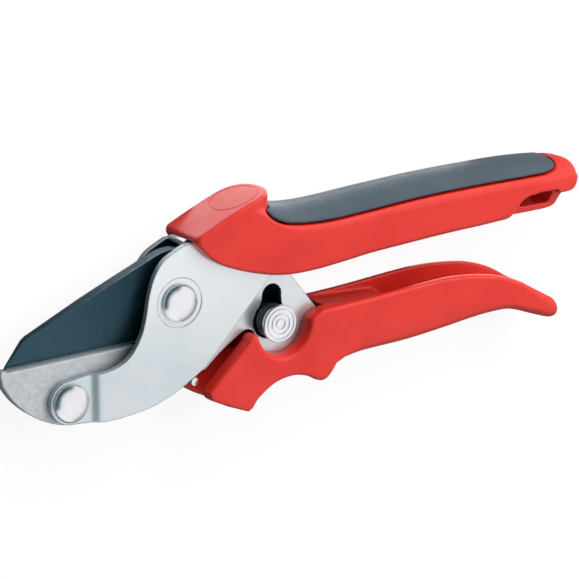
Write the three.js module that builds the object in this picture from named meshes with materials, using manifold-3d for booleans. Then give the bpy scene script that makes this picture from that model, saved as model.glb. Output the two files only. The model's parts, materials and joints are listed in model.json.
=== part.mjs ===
// Anvil pruning shears, built piece by piece in millimetres.
//
// Working frame: the blade pivot is the origin, X runs toward the handle ends, Y toward the
// upper handle and Z across the tool, toward the side that carries the lock button. The last
// lines move the whole tool so that the origin is the centre of the base that it lies on.

import * as THREE from 'three';
import { mergeVertices } from 'three/addons/utils/BufferGeometryUtils.js';
import Module from 'manifold-3d';

const wasm = await Module();
wasm.setup();

// ---------------------------------------------------------------- driving dimensions

const bladeReach = 56.2; // pivot to blade tip, along X
const upperReach = 152.5; // pivot to the end of the upper handle
const lowerReach = 142.6; // pivot to the end of the lower handle
const upperHalfWidth = 9.9;
const lowerHalfWidth = 9.5;

const bladeThickness = 4;
const plateThickness = 2; // frame plates and lever plates
const anvilThickness = 4.6;
const wall = 2.6; // moulded walls of both handles
const gripThickness = 2.6;
const partingGap = 0.3; // between fitted pieces
const plateGap = 0.1; // between plates riveted into one stack
const runningGap = 0.2; // between the frame plates and the lever plates
const bearingGap = 0.1; // round the pivot bush

const pivotShank = 3; // radii from here on
const bushRadius = 4.6;
const domeRadius = 5.9;
const domeHeight = 2.9;
const coinRadius = 7.7;
const coinDepth = 0.4;
const anvilShank = 2.5;
const armRadius = 6.8;
const pinRadius = 2;
const crossPinRadius = 1.35;
const rivetRadius = 2;
const bladeRadius = 15.6; // round root of the blade
const shoulderRadius = 12.4; // where the root steps down to take the foot of the spring

const anvilCentre = [-36.5, -25.5];
const edgeTip = [-bladeReach, -13.2]; // the cutting edge runs from here
const edgeHeel = [-9.4, -11.45]; // to here
const lockedCentre = [33.2, -10.8]; // lock button with the tool shut and locked
const freeCentre = [33.9, -3.1]; // lock button pushed up
const lobeRadius = 6;
const stemRadius = 2.6;
const stemClearance = 0.5;
const barrelRadius = 5;
const buttonRadius = 5.9;
const buttonHeight = 6.2; // above the lever plate
const springPost = [25, 14.2];
const postRadius = 3;
const springWire = 0.8;
const springSweep = 545; // degrees of coil between the two legs
const springRise = 2.5; // from one leg to the other, across the tool

// Half thicknesses and heights of the stack, measured from the middle plane.
const bladeFace = bladeThickness / 2;
const leverIn = bladeFace + plateGap;
const leverOut = leverIn + plateThickness;
const frameIn = leverOut + runningGap;
const frameOut = frameIn + plateThickness;
const anvilFace = anvilThickness / 2;
const armIn = anvilFace + plateGap;
const armOut = armIn + plateThickness;
const coreFace = leverIn - partingGap; // pieces that lie between the lever plates

// ---------------------------------------------------------------- solids from three.js geometry

function solid(geometry) {
  geometry.deleteAttribute('normal');
  geometry.deleteAttribute('uv');
  const merged = mergeVertices(geometry, 1e-4);
  return new wasm.Manifold(new wasm.Mesh({
    numProp: 3,
    vertProperties: new Float32Array(merged.attributes.position.array),
    triVerts: new Uint32Array(merged.index.array),
  }));
}

// A prism between two heights, with its edges rounded by `round` where that is given.
function prism(shape, low, high, round = 0, steps = 2) {
  const geometry = new THREE.ExtrudeGeometry(shape, {
    depth: high - low - 2 * round,
    curveSegments: 8,
    bevelEnabled: round > 0,
    bevelThickness: round,
    bevelSize: round,
    bevelOffset: -round,
    bevelSegments: steps,
  });
  geometry.translate(0, 0, low + round);
  return solid(geometry);
}

function both(shape, half, round = 0, steps = 2) {
  return prism(shape, -half, half, round, steps);
}

function cylinder([x, y], radius, low, high, sides = 16) {
  const geometry = new THREE.CylinderGeometry(radius, radius, high - low, sides);
  geometry.rotateX(Math.PI / 2);
  geometry.translate(x, y, (low + high) / 2);
  return solid(geometry);
}

// A turned piece about an axis along Z; each profile point is [radius, height].
function turned([x, y], profile, sides = 24) {
  const points = profile.map(([r, z]) => new THREE.Vector2(r, z));
  const geometry = new THREE.LatheGeometry(points, sides);
  geometry.rotateX(Math.PI / 2);
  geometry.translate(x, y, 0);
  return solid(geometry);
}

function polygon(points) {
  return new THREE.Shape(points.map(([x, y]) => new THREE.Vector2(x, y)));
}

// A closed outline of stretches: each is a list of points, joined straight, or { curve: [...] },
// a smooth curve through its points.
function outline(...stretches) {
  const points = [];
  for (const stretch of stretches) {
    if (stretch.curve) {
      const curve = new THREE.SplineCurve(stretch.curve.map(([x, y]) => new THREE.Vector2(x, y)));
      points.push(...curve.getPoints(stretch.curve.length * (stretch.fine ?? 3)));
    } else {
      points.push(...stretch.map(([x, y]) => new THREE.Vector2(x, y)));
    }
  }
  return new THREE.Shape(points);
}

function arc([x, y], radius, from, to, steps = 12) {
  const points = [];
  for (let i = 0; i <= steps; i += 1) {
    const a = THREE.MathUtils.degToRad(from + ((to - from) * i) / steps);
    points.push([x + radius * Math.cos(a), y + radius * Math.sin(a)]);
  }
  return points;
}

// A smooth function of x through the given points.
function through(points) {
  const slope = (i) => {
    const a = points[Math.max(i - 1, 0)];
    const b = points[Math.min(i + 1, points.length - 1)];
    return (b[1] - a[1]) / (b[0] - a[0]);
  };
  return (x) => {
    let i = points.findIndex((p) => p[0] > x) - 1;
    if (i < 0) i = x < points[0][0] ? 0 : points.length - 2;
    const [x0, y0] = points[i];
    const [x1, y1] = points[i + 1];
    const t = THREE.MathUtils.clamp((x - x0) / (x1 - x0), 0, 1);
    const h = x1 - x0;
    const a = y0 * (1 + 2 * t) * (1 - t) ** 2 + y1 * t * t * (3 - 2 * t);
    return a + h * (slope(i) * t * (1 - t) ** 2 - slope(i + 1) * t * t * (1 - t));
  };
}

// One rounded section of a handle, as [y, z] points round the X axis.
function section(low, high, half, lowRadius, highRadius, steps = 4) {
  const limit = Math.min(high - low, 2 * half) / 2 - 0.05;
  const rl = Math.min(lowRadius, limit);
  const rh = Math.min(highRadius, limit);
  const corners = [
    [high - rh, half - rh, rh, 0],
    [low + rl, half - rl, rl, 90],
    [low + rl, rl - half, rl, 180],
    [high - rh, rh - half, rh, 270],
  ];
  const points = [];
  for (const [cy, cz, r, start] of corners) {
    for (let i = 0; i <= steps; i += 1) {
      const a = THREE.MathUtils.degToRad(start + (90 * i) / steps);
      points.push([cy + r * Math.cos(a), cz + r * Math.sin(a)]);
    }
  }
  return points;
}

// A loft along X: rings of equal length, joined side to side and closed by flat ends.
function loft(stations, ringAt) {
  const rings = stations.map((x) => ringAt(x).map(([y, z]) => [x, y, z]));
  const count = rings[0].length;
  const position = rings.flat(2);
  const index = [];
  for (let i = 0; i + 1 < rings.length; i += 1) {
    for (let k = 0; k < count; k += 1) {
      const a = i * count + k;
      const b = i * count + ((k + 1) % count);
      index.push(a, b, a + count, b, b + count, a + count);
    }
  }
  const last = (rings.length - 1) * count;
  for (let k = 1; k + 1 < count; k += 1) {
    index.push(0, k + 1, k, last, last + k, last + k + 1);
  }
  const geometry = new THREE.BufferGeometry();
  geometry.setAttribute('position', new THREE.Float32BufferAttribute(position, 3));
  geometry.setIndex(index);
  return solid(geometry);
}

function spaced(from, to, count) {
  return Array.from({ length: count + 1 }, (_, i) => from + ((to - from) * i) / count);
}

// ---------------------------------------------------------------- upper handle and its grip

const headFront = 4; // front rim of the moulded head
const neck = 44; // the head ends and the grip's full width starts
const padCentre = 23.3; // the raised pad on the head ends in a half circle about this point
const tangEnd = 76; // the frame plates end here, inside the handle
const tangTop = 18;

const alongUpper = (f) => neck + f * (upperReach - neck);

const headRoof = through([
  [headFront, 19.7], [12, 23.5], [20, 27], [24, 28.5], [28, 29.7], [31, 30.3], [36, 30.5],
]);
const upperTop = through([
  [headFront, 19.3], [14, 23.5], [22, 26.6], [26, 26.9], [30, 26], [35, 24.8], [40, 24.1],
  [alongUpper(0.06), 24.1], [alongUpper(0.22), 25.4], [alongUpper(0.4), 26.8], [alongUpper(0.6), 27.5],
  [alongUpper(0.75), 27.6], [alongUpper(0.885), 26.8], [alongUpper(0.945), 25.6], [alongUpper(0.982), 23.6],
  [upperReach, 21],
]);
const upperLow = through([
  [headFront, 18], [10.1, 12], [17.5, 8.4], [27.8, 5.3], [36.3, 3.9], [neck + 2.4, 3.9],
  [alongUpper(0.12), 4.9], [alongUpper(0.213), 6.1], [alongUpper(0.31), 6.9], [alongUpper(0.41), 7.7],
  [alongUpper(0.507), 8.4], [alongUpper(0.608), 8.9], [alongUpper(0.71), 9.6], [alongUpper(0.82), 9.9],
  [alongUpper(0.88), 10.3], [alongUpper(0.903), 11.3], [alongUpper(0.925), 14.2], [alongUpper(0.949), 15],
  [alongUpper(0.972), 16], [alongUpper(0.988), 17.6], [upperReach, 20],
]);
const sideSweep = through([
  [neck, upperHalfWidth], [alongUpper(0.3), upperHalfWidth - 0.3], [alongUpper(0.75), upperHalfWidth - 0.3],
  [alongUpper(0.9), upperHalfWidth - 0.9], [alongUpper(0.96), upperHalfWidth - 2.4],
  [alongUpper(0.985), upperHalfWidth - 4.6], [upperReach, upperHalfWidth - 7.4],
]);
// The head's sides are flat and parallel; behind the neck they sweep in.
const upperHalf = (x) => Math.min(sideSweep(x), upperHalfWidth);
const upperEdge = through([
  [headFront, 0.8], [21, 1], [26, 2.6], [31, 4.6], [neck, 6], [alongUpper(0.85), 6.4], [upperReach, 4],
]);
const upperLowEdge = through([[headFront, 0.8], [30, 1.6], [neck + 10, 2.6], [upperReach, 2.6]]);

// The handle's full form, or a core that lies `inset` inside it.
function upperForm(inset = 0) {
  const start = inset ? padCentre - 8 : headFront;
  const end = inset ? alongUpper(0.93) : upperReach;
  const stations = [
    ...spaced(start, neck, 11),
    ...spaced(neck, alongUpper(0.86), 12).slice(1),
    ...spaced(alongUpper(0.86), inset ? end : alongUpper(0.98), inset ? 3 : 7).slice(1),
  ];
  if (!inset) stations.push(alongUpper(0.992), upperReach);
  return loft(stations, (x) => section(
    upperLow(x) + inset,
    upperTop(x) - inset,
    upperHalf(x) - inset,
    upperLowEdge(x),
    Math.max(upperEdge(x) - inset, 0.6),
  ));
}

// The raised pad: a wedge in side view, a rounded tongue in plan.
function headPad(grow = 0) {
  const radius = upperHalfWidth + grow;
  const end = padCentre + radius;
  const roof = spaced(headFront, end, 10).map((x) => [x, headRoof(x) + grow]);
  const side = both(polygon([[headFront, 17.8], ...roof, [end, 20], [20, 16]].reverse()), upperHalfWidth);
  const plan = outline([[headFront, -radius]], arc([padCentre, 0], radius, -90, 90, 14), [[headFront, radius]]);
  const column = new THREE.ExtrudeGeometry(plan, { depth: 40, bevelEnabled: false });
  column.rotateX(Math.PI / 2);
  column.translate(0, 40, 0);
  return side.intersect(solid(column));
}

// Side view of the space that the soft grip fills; `gap` widens it for the red seat.
function gripRegion(gap = 0) {
  const border = [
    [27, 27.4], [29.4, 24.4], [31.8, 22.2], [35.6, 20.4], [40.3, 19.5], [neck + 2.8, 19],
    [alongUpper(0.1), 19.1], [alongUpper(0.2), 19.9], [alongUpper(0.3), 20.8], [alongUpper(0.4), 21.6],
    [alongUpper(0.52), 22.2], [alongUpper(0.65), 22.6], [alongUpper(0.84), 22.9],
  ].map(([x, y]) => [x - gap / 2, y - gap]);
  const end = [
    [alongUpper(0.872), 23.6], [alongUpper(0.885), 25], [alongUpper(0.88), 27], [alongUpper(0.86), 34],
  ].map(([x, y]) => [x + gap, y]);
  return both(outline({ curve: border }, { curve: end }, [[27 - gap, 34]]), 14);
}

// The moulding is open below: the frame plates' seat, then a ribbed channel behind it.
function upperHollows() {
  const seat = frameOut + partingGap;
  const roof = [
    [headFront - 2, 17.9], [headFront, 18], [24, headRoof(24) - wall], [28.3, 24.4], [30.4, 21.4],
    [36, 20], [40, tangTop + partingGap], [tangEnd + partingGap, tangTop + partingGap],
  ];
  const plateSeat = both(polygon([...roof, [tangEnd + partingGap, 0], [0, 0], [0, 14]].reverse()), seat);
  const ribs = [alongUpper(0.34), alongUpper(0.44), alongUpper(0.54), alongUpper(0.64), alongUpper(0.74)];
  let hollow = plateSeat;
  for (let i = 0; i + 1 < ribs.length; i += 1) {
    const from = ribs[i] + wall / 2;
    const to = ribs[i + 1] - wall / 2;
    const cell = polygon([[from, 0], [to, 0], [to, 19.6], [from, 19.6]]);
    hollow = hollow.add(both(cell, upperHalfWidth - wall - 0.6));
  }
  return hollow;
}

// The hanging loop at the handle's end: the sides are cut back to a thin bar with a slot over it.
const loopStart = alongUpper(0.77);
const loopEnd = alongUpper(0.88);
const slotHalf = 5;

function hangingLoop() {
  const a = loopStart;
  const b = loopEnd;
  const notch = outline(
    [[a - 8, 2]],
    { curve: [[a - 7.4, 9.6], [a - 6.2, 10.9], [a - 4.4, 12.6], [a - 2.4, 14.8], [a, 16.1], [a + 3, 16.5]] },
    [[b + 1.4, 15.7], [b + 10, 15.2], [b + 20, 14.8], [b + 20, 2]],
  );
  const slot = outline(
    [[a - 0.3, 12]],
    { curve: [[a + 0.4, 13], [a + 2, 15.2], [a + 4.2, 16.9]] },
    [[b + 0.6, 16.9], [b + 1.2, 15.2], [b - 0.3, 12.5], [b - 1, 12.1]],
  );
  return prism(notch, slotHalf, 14).add(prism(notch, -14, -slotHalf)).add(both(slot, 14));
}

function upperHandle(pins) {
  const shell = upperForm().subtract(gripRegion(partingGap));
  const body = shell.add(upperForm(gripThickness + partingGap)).add(headPad());
  let open = body.subtract(upperHollows()).subtract(hangingLoop());
  for (const pin of pins) {
    open = open.subtract(cylinder(pin, pinRadius + plateGap, -pinHalf - plateGap, pinHalf + plateGap));
  }
  return open;
}

function softGrip() {
  return upperForm().intersect(gripRegion()).subtract(upperForm(gripThickness)).subtract(headPad(partingGap));
}

// ---------------------------------------------------------------- frame: plates, anvil, rivets

const handlePins = [[44, 13.4], [66, 15.6]];
const pinHalf = upperHalfWidth - 1.5;

// Lower right corner and upper right end of the frame plate's straight rear edge.
const rearEdgeLow = [6, -25];
const rearEdgeHigh = [32.2, 3.5];

function frameOutline() {
  const [ax, ay] = anvilCentre;
  return outline(
    arc(anvilCentre, armRadius, 262, 92, 12),
    { curve: [[ax + 5, ay + 7.7], [-23.2, -17], [-17.4, -14.2], [-13.5, -8.6], [-11.7, -2.8], [-10.6, 3.2],
      [-8.7, 9], [-5.2, 13.8], [1.5, 17.4]] },
    [[headFront, 17.6], [24, headRoof(24) - wall - partingGap], [28, 24.1], [30.1, 21.1], [35.8, 19.7],
      [40, tangTop], [tangEnd, tangTop], [tangEnd, 13.4], [60, 11], [48, 8.2], [38, 7], rearEdgeHigh],
    [rearEdgeLow],
    { curve: [[5.4, -25.9], [4, -26.9], [-1, -28.9], [-11.5, -31.9], [-21.5, -32.8], [-30, -32.6]] },
  );
}

// Plan section of a frame plate: flat, then stepped inward to lie against the anvil.
function frameLayer(sign) {
  const step = [anvilCentre[0] + 7, anvilCentre[0] + 11.5];
  const far = anvilCentre[0] - 20;
  const points = [
    [far, armIn], [step[0], armIn], [step[1], frameIn], [100, frameIn],
    [100, frameOut], [step[1] - 0.6, frameOut], [step[0] - 0.6, armOut], [far, armOut],
  ];
  const geometry = new THREE.ExtrudeGeometry(polygon(points), { depth: 100, bevelEnabled: false });
  geometry.rotateX(Math.PI / 2);
  geometry.translate(0, 50, 0);
  const layer = solid(geometry);
  return sign > 0 ? layer : layer.mirror([0, 0, 1]);
}

function framePlate(sign) {
  let plate = both(frameOutline(), 12).intersect(frameLayer(sign));
  const outer = [frameOut - coinDepth, frameOut + 1];
  const coin = sign > 0 ? outer : [-outer[1], -outer[0]];
  plate = plate.subtract(cylinder([0, 0], coinRadius, ...coin, 40));
  const holes = [
    [[0, 0], pivotShank], [anvilCentre, anvilShank], [springPost, postRadius],
    ...handlePins.map((pin) => [pin, pinRadius]),
  ];
  for (const [centre, radius] of holes) {
    plate = plate.subtract(cylinder(centre, radius + plateGap, -12, 12));
  }
  return plate;
}

// A strip that ties the two plates together under the front rim of the head.
function frameBridge() {
  const strip = [[1.9, 16.7], [9, 16.7], [9, 17.8], [3.7, 17.7], [3.7, 18.9], [1.9, 18.5]];
  return both(polygon(strip), frameIn - plateGap / 2);
}

// Height of the shut blade's edge.
function edgeAt(x) {
  const t = (x - edgeTip[0]) / (edgeHeel[0] - edgeTip[0]);
  return edgeTip[1] + t * (edgeHeel[1] - edgeTip[1]);
}

function anvil() {
  const nose = -bladeReach - 2.2;
  const top = edgeTip[1] - partingGap;
  const body = outline(
    [[-13.4, edgeAt(-13.4) - partingGap], [nose + 2, edgeAt(nose + 2) - partingGap],
      [nose + 1.7, top + 0.6], [nose + 0.4, top + 0.5], [nose, top - 0.6]],
    { curve: [[nose + 0.7, -17.5], [nose + 5, -23.7], [nose + 11.4, -29], [nose + 19, -32.4], [-32.8, -33.2]] },
    [[-22, -31.6], [-17, -26], [-14.5, -18]],
  );
  const heel = polygon([[-24.4, -30.6], [-20, -29.6], [-16.6, -25.5], [-16.6, -19], [-24.4, -19]]);
  const block = both(body, anvilFace, 0.5, 2).add(both(heel, frameIn - plateGap, 0.4, 1));
  return block.subtract(cylinder(anvilCentre, anvilShank + plateGap, -9, 9));
}

// A round-headed rivet: a shank with a dome closed down at each end.
function domeRivet(centre, shank, seat) {
  const dome = [];
  const steps = 5;
  for (let i = 0; i <= steps; i += 1) {
    const a = (Math.PI / 2) * (i / steps);
    dome.push([domeRadius * Math.cos(a), seat + 0.5 + (domeHeight - 0.5) * Math.sin(a)]);
  }
  dome[steps][0] = 0;
  const half = [[shank, seat], [domeRadius - 0.2, seat], ...dome];
  const mirrored = half.map(([r, z]) => [r, -z]).reverse();
  return turned(centre, [...mirrored, ...half]);
}

function pivotBush() {
  const half = frameIn - plateGap / 2;
  return cylinder([0, 0], bushRadius, -half, half, 36).subtract(
    cylinder([0, 0], pivotShank + plateGap, -20, 20, 36),
  );
}

function pin(centre, radius, half) {
  return turned(centre, [[0, -half], [radius - 0.3, -half], [radius, 0.3 - half], [radius, half - 0.3],
    [radius - 0.3, half], [0, half]], 16);
}

// The catch's fixed partner: a finger that hangs from the handle pin between the lever plates.
function lockStrike() {
  const shape = outline(
    arc(handlePins[0], 4.6, 120, -60, 8),
    [[38, 7.6], [31, 4.4], [28.6, 1.6], [28.4, -1.6], [26.4, -2.4], [24.6, -1], [24.4, 3], [29, 8], [36, 12.5]],
  );
  return both(shape, coreFace).subtract(cylinder(handlePins[0], pinRadius + plateGap, -9, 9));
}

// The opening spring: a coil about its post with one leg under the bridge and one on the blade.
function returnSpring() {
  const [cx, cy] = springPost;
  const mean = postRadius + springWire + 0.4;
  const bottom = -springRise / 2;
  const points = [
    [cx - 18.4, cy + 1.1, bottom], [cx - 15, cy + 1.3, bottom], [cx - 11, cy + 2.1, bottom],
    [cx - 6, cy + 3.8, bottom],
  ];
  const steps = 21;
  for (let i = 0; i <= steps; i += 1) {
    const angle = THREE.MathUtils.degToRad(95 - (springSweep * i) / steps);
    points.push([cx + mean * Math.cos(angle), cy + mean * Math.sin(angle), bottom + (springRise * i) / steps]);
  }
  const foot = [[cx - 5.5, cy - 4.1], [cx - 10.5, cy - 3.3], [cx - 13, cy - 3.3], [cx - 15.4, cy - 3.9]];
  points.push(...foot.map(([x, y]) => [x, y, -bottom]));
  const path = new THREE.CatmullRomCurve3(points.map((p) => new THREE.Vector3(...p)), false, 'centripetal');
  const wire = new THREE.Shape().absarc(0, 0, springWire, 0, Math.PI * 2);
  const geometry = new THREE.ExtrudeGeometry(wire, {
    steps: 50, curveSegments: 4, bevelEnabled: false, extrudePath: path,
  });
  return solid(geometry);
}

// ---------------------------------------------------------------- lever: blade, plates, handle

const bladeRivets = [[11.6, 6.2], [11, -8]];
const leverPins = [[38.5, -25], [72, -15.6]];
const crossPin = [7.6, -27];
const leverPinHalf = lowerHalfWidth - 1.4;

// The blade: a wedge in section, thin at the cutting edge and full at the spine.
function blade() {
  const [tip] = edgeTip;
  const shape = outline(
    [edgeTip, [tip + 0.6, -12.2], [tip + 6.2, -5.4], [tip + 7.6, -4.4]],
    { curve: [[tip + 28.6, 5], [tip + 45.7, 12.3], [-4, 14.9], [0.5, 15.59]] },
    arc([0, 0], bladeRadius, 86, 78, 2),
    arc([0, 0], shoulderRadius, 74, 44, 5),
    arc([0, 0], bladeRadius, 38, -122, 22),
    [edgeHeel],
  );
  const edgeAngle = Math.atan2(edgeHeel[1] - edgeTip[1], edgeHeel[0] - tip);
  const wedge = polygon([
    [-0.02, -0.22], [0.9, -0.5], [16, -bladeFace], [60, -bladeFace], [60, bladeFace], [16, bladeFace],
    [0.9, 0.5], [-0.02, 0.22],
  ]);
  const grind = new THREE.ExtrudeGeometry(wedge, { depth: 140, bevelEnabled: false });
  grind.rotateY(Math.PI / 2);
  grind.rotateX(Math.PI / 2);
  grind.translate(-20, 0, 0);
  grind.rotateZ(edgeAngle);
  grind.translate(...edgeTip, 0);
  const root = cylinder([0, 0], shoulderRadius, -bladeFace, bladeFace, 40);
  let body = both(shape, bladeFace).intersect(solid(grind)).add(root);
  body = body.subtract(cylinder([0, 0], bushRadius + bearingGap, -9, 9, 36));
  for (const rivet of bladeRivets) {
    body = body.subtract(cylinder(rivet, rivetRadius + plateGap, -9, 9));
  }
  return body;
}

// The keyhole: a round lobe at the locked end and a narrow slot up to the free end.
function keyhole() {
  const half = stemRadius + stemClearance;
  const [lx, ly] = lockedCentre;
  const [fx, fy] = freeCentre;
  const lean = THREE.MathUtils.radToDeg(Math.atan2(fy - ly, fx - lx)) - 90;
  const travel = Math.hypot(fx - lx, fy - ly);
  const local = outline(
    arc([0, travel], half, 0, 180, 12),
    { curve: [[-half, travel - 1.6], [-half - 0.7, travel - 3.6], [-lobeRadius + 0.9, 2.9], [-lobeRadius, 0]] },
    arc([0, 0], lobeRadius, 190, 350, 16),
    { curve: [[lobeRadius, 0], [lobeRadius - 0.9, 2.9], [half + 0.7, travel - 3.6], [half, travel - 1.6]] },
  );
  const geometry = new THREE.ExtrudeGeometry(local, { depth: 24, bevelEnabled: false });
  geometry.rotateZ(THREE.MathUtils.degToRad(lean));
  geometry.translate(lx, ly, 0);
  return solid(geometry);
}

function leverPlate(sign) {
  const shape = outline(
    arc([0, 0], 9.6, 70, 270, 16),
    [[16, -11.4]],
    { curve: [[21, -12.1], [24.2, -12.8], [26.4, -14.4], [27.2, -18], [28.4, -24]] },
    [[31, -27], [44, -26.6], [56, -21.4], [76, -19.6], [79, -17.4], [79, -13.4], [76, -11.8], [52, -11.8],
      [50.3, -9.8], [41.2, 2]],
    { curve: [[40, 3.8], [38.6, 5], [36.6, 5.4]] },
    [[16, 6.4]],
  );
  const [low, high] = sign > 0 ? [leverIn, leverOut] : [-leverOut, -leverIn];
  let plate = prism(shape, low, high);
  plate = plate.subtract(cylinder([0, 0], bushRadius + bearingGap, -9, 9, 36));
  for (const rivet of bladeRivets) plate = plate.subtract(cylinder(rivet, rivetRadius + plateGap, -9, 9));
  for (const hole of leverPins) plate = plate.subtract(cylinder(hole, pinRadius + plateGap, -9, 9));
  return sign > 0 ? plate.subtract(keyhole()) : plate;
}

const alongLower = (f) => 47.6 + f * (lowerReach - 47.6);

const lowerBack = () => [
  { curve: [[49.6, -9.1], [alongLower(0.21), -8], [alongLower(0.43), -6.4], [alongLower(0.54), -6],
    [alongLower(0.64), -6.8], [alongLower(0.73), -8.4], [alongLower(0.82), -11.6], [alongLower(0.945), -18.1],
    [alongLower(0.975), -19.8], [alongLower(0.992), -21.4], [lowerReach, -22.9], [alongLower(0.992), -24.8],
    [alongLower(0.97), -25.8], [alongLower(0.945), -25.5], [alongLower(0.885), -23.6],
    [alongLower(0.81), -21.1], [alongLower(0.757), -20.3],
    [alongLower(0.65), -20.9], [alongLower(0.503), -22.8], [alongLower(0.36), -24.3],
    [alongLower(0.217), -25], [58, -25.6]], fine: 2 },
  { curve: [[54.8, -27], [52.2, -30.4], [49.8, -31.8], [47.2, -31.3], [44.2, -29.6], [38.7, -28.5],
    [32.2, -29.7], [26.4, -33.4], [24, -36.4]] },
  [[22.4, -37.3], [15.5, -34.6], [9.3, -31.6]],
];

function nearWallOutline() {
  return outline(
    [[9.4, -29.2], [20.6, -13.6]],
    { curve: [[21.6, -12.3], [23, -11.7], [24.6, -12.8], [26.2, -15.8], [28.2, -19.2], [31, -21.5],
      [35.4, -22.4], [39.6, -21], [43.4, -18], [46, -14.6], [47.4, -11]] },
    ...lowerBack(),
  );
}

function farWallOutline() {
  return outline([[9.4, -29.2], [20.6, -13.6], [24.2, -12.3], [34, -10.9]], ...lowerBack());
}

// The hollow between the lower handle's walls, open toward the upper handle and crossed by ribs.
function trough() {
  const shape = outline(
    [[58, 4], [58, -20]],
    { curve: [[alongLower(0.22), -21.6], [alongLower(0.36), -21], [alongLower(0.5), -19.6],
      [alongLower(0.65), -17.6], [alongLower(0.757), -17], [alongLower(0.81), -17.6], [alongLower(0.88), -19]] },
    [[alongLower(0.93), 4]],
  );
  let hollow = both(shape, lowerHalfWidth - wall + 0.4);
  for (const f of [0.38, 0.54, 0.7]) {
    const x = alongLower(f);
    const rib = polygon([[x - 0.9, -30], [x + 0.9, -30], [x + 0.9, -13.4], [x - 0.9, -13.4]]);
    hollow = hollow.subtract(both(rib, lowerHalfWidth));
  }
  return hollow;
}

function lowerHandle() {
  const round = 1.2;
  const near = prism(nearWallOutline(), -round, lowerHalfWidth, round, 2);
  const far = prism(farWallOutline(), -lowerHalfWidth, round, round, 2);
  const radius = 3.5;
  const plan = outline(
    [[-10, -lowerHalfWidth]],
    arc([lowerReach - radius, radius - lowerHalfWidth], radius, -90, 0, 6),
    arc([lowerReach - radius, lowerHalfWidth - radius], radius, 0, 90, 6),
    [[-10, lowerHalfWidth]],
  );
  const column = new THREE.ExtrudeGeometry(plan, { depth: 60, bevelEnabled: false });
  column.rotateX(Math.PI / 2);
  let body = near.add(far).intersect(solid(column));
  // The trough, the pocket that takes the lever plates, and the mouth in front of the walls.
  body = body.subtract(trough());
  const pocket = polygon([[0, 10], [0, -18.2], [14, -18.6], [25, -19.6], [27, -28.2], [45, -28], [57, -22.6],
    [80, -20.4], [80, 10]].reverse());
  body = body.subtract(both(pocket, leverOut + partingGap));
  // The tongue runs on from the floor of the pocket, between the frame plates.
  const tongue = outline(
    [[24, -35], [9.5, -31.2], [2.8, -27.4]],
    { curve: [[0.6, -25.4], [0.6, -22.4], [3, -20.6]] },
    [[14, -19.4], [24, -20.4]],
  );
  body = body.add(both(tongue, leverOut, 0.5, 1));
  body = body.subtract(cylinder(crossPin, crossPinRadius + plateGap, -9, 9));
  // A dished hollow round the button leaves room for a thumb.
  const dish = [[0, leverOut], [9.4, leverOut], [9.8, leverOut + 1.4], [10.6, leverOut + 2.8],
    [11.8, leverOut + 4], [13.4, leverOut + 4.9], [15.4, lowerHalfWidth + 0.1], [0, lowerHalfWidth + 0.1]];
  body = body.subtract(turned(lockedCentre, dish, 32));
  for (const hole of leverPins) {
    body = body.subtract(cylinder(hole, pinRadius + plateGap, -leverPinHalf - plateGap, leverPinHalf + plateGap));
  }
  return body;
}

// ---------------------------------------------------------------- lock

function lockButton() {
  const seat = leverOut + partingGap;
  const top = leverOut + buttonHeight;
  const rim = top - 1.5;
  const grooves = [];
  for (const ratio of [0.8, 0.53, 0.27]) {
    const r = buttonRadius * ratio;
    grooves.push([r + 0.22, top], [r, top - 0.3], [r - 0.22, top]);
  }
  return turned(lockedCentre, [
    [0, -coreFace], [stemRadius, -coreFace], [stemRadius, seat],
    [barrelRadius, seat], [barrelRadius, seat + 1], [barrelRadius - 0.4, seat + 1.2],
    [barrelRadius - 0.4, seat + 1.6], [barrelRadius, seat + 1.8], [barrelRadius, rim - 0.6],
    [buttonRadius - 0.3, rim], [buttonRadius, rim + 0.3], [buttonRadius, top - 0.4], [buttonRadius - 0.4, top],
    ...grooves, [0, top],
  ], 24);
}

// The catch is pressed on the stem, between the lever plates.
function lockCatch() {
  const [x, y] = lockedCentre;
  const shape = outline(arc(lockedCentre, 4.6, -40, 220, 18), [[x - 2.4, y - 5.4], [x + 2.4, y - 5.4]]);
  return both(shape, coreFace - plateGap, 0.3, 1).subtract(cylinder(lockedCentre, stemRadius + plateGap, -9, 9));
}

// ---------------------------------------------------------------- materials and assembly

const finish = (color, roughness, metalness) => new THREE.MeshStandardMaterial({ color, roughness, metalness });
const redPlastic = finish(0xe3443a, 0.45, 0);
const greyRubber = finish(0x5c6870, 0.75, 0);
const zincPlate = finish(0xd3dade, 0.35, 0.9);
const polishedSteel = finish(0xe4e6ea, 0.2, 1);
const coatedSteel = finish(0x384f5b, 0.4, 0.5);
const castAluminium = finish(0xb4b4ba, 0.55, 0.8);
const springSteel = finish(0x8a9096, 0.35, 0.9);

const tool = new THREE.Group();

function place(name, body, material) {
  const { vertProperties, triVerts } = body.getMesh();
  const geometry = new THREE.BufferGeometry();
  geometry.setAttribute('position', new THREE.BufferAttribute(vertProperties, 3));
  geometry.setIndex(new THREE.BufferAttribute(triVerts, 1));
  geometry.computeVertexNormals();
  const mesh = new THREE.Mesh(geometry, material);
  mesh.name = name;
  tool.add(mesh);
}

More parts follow.
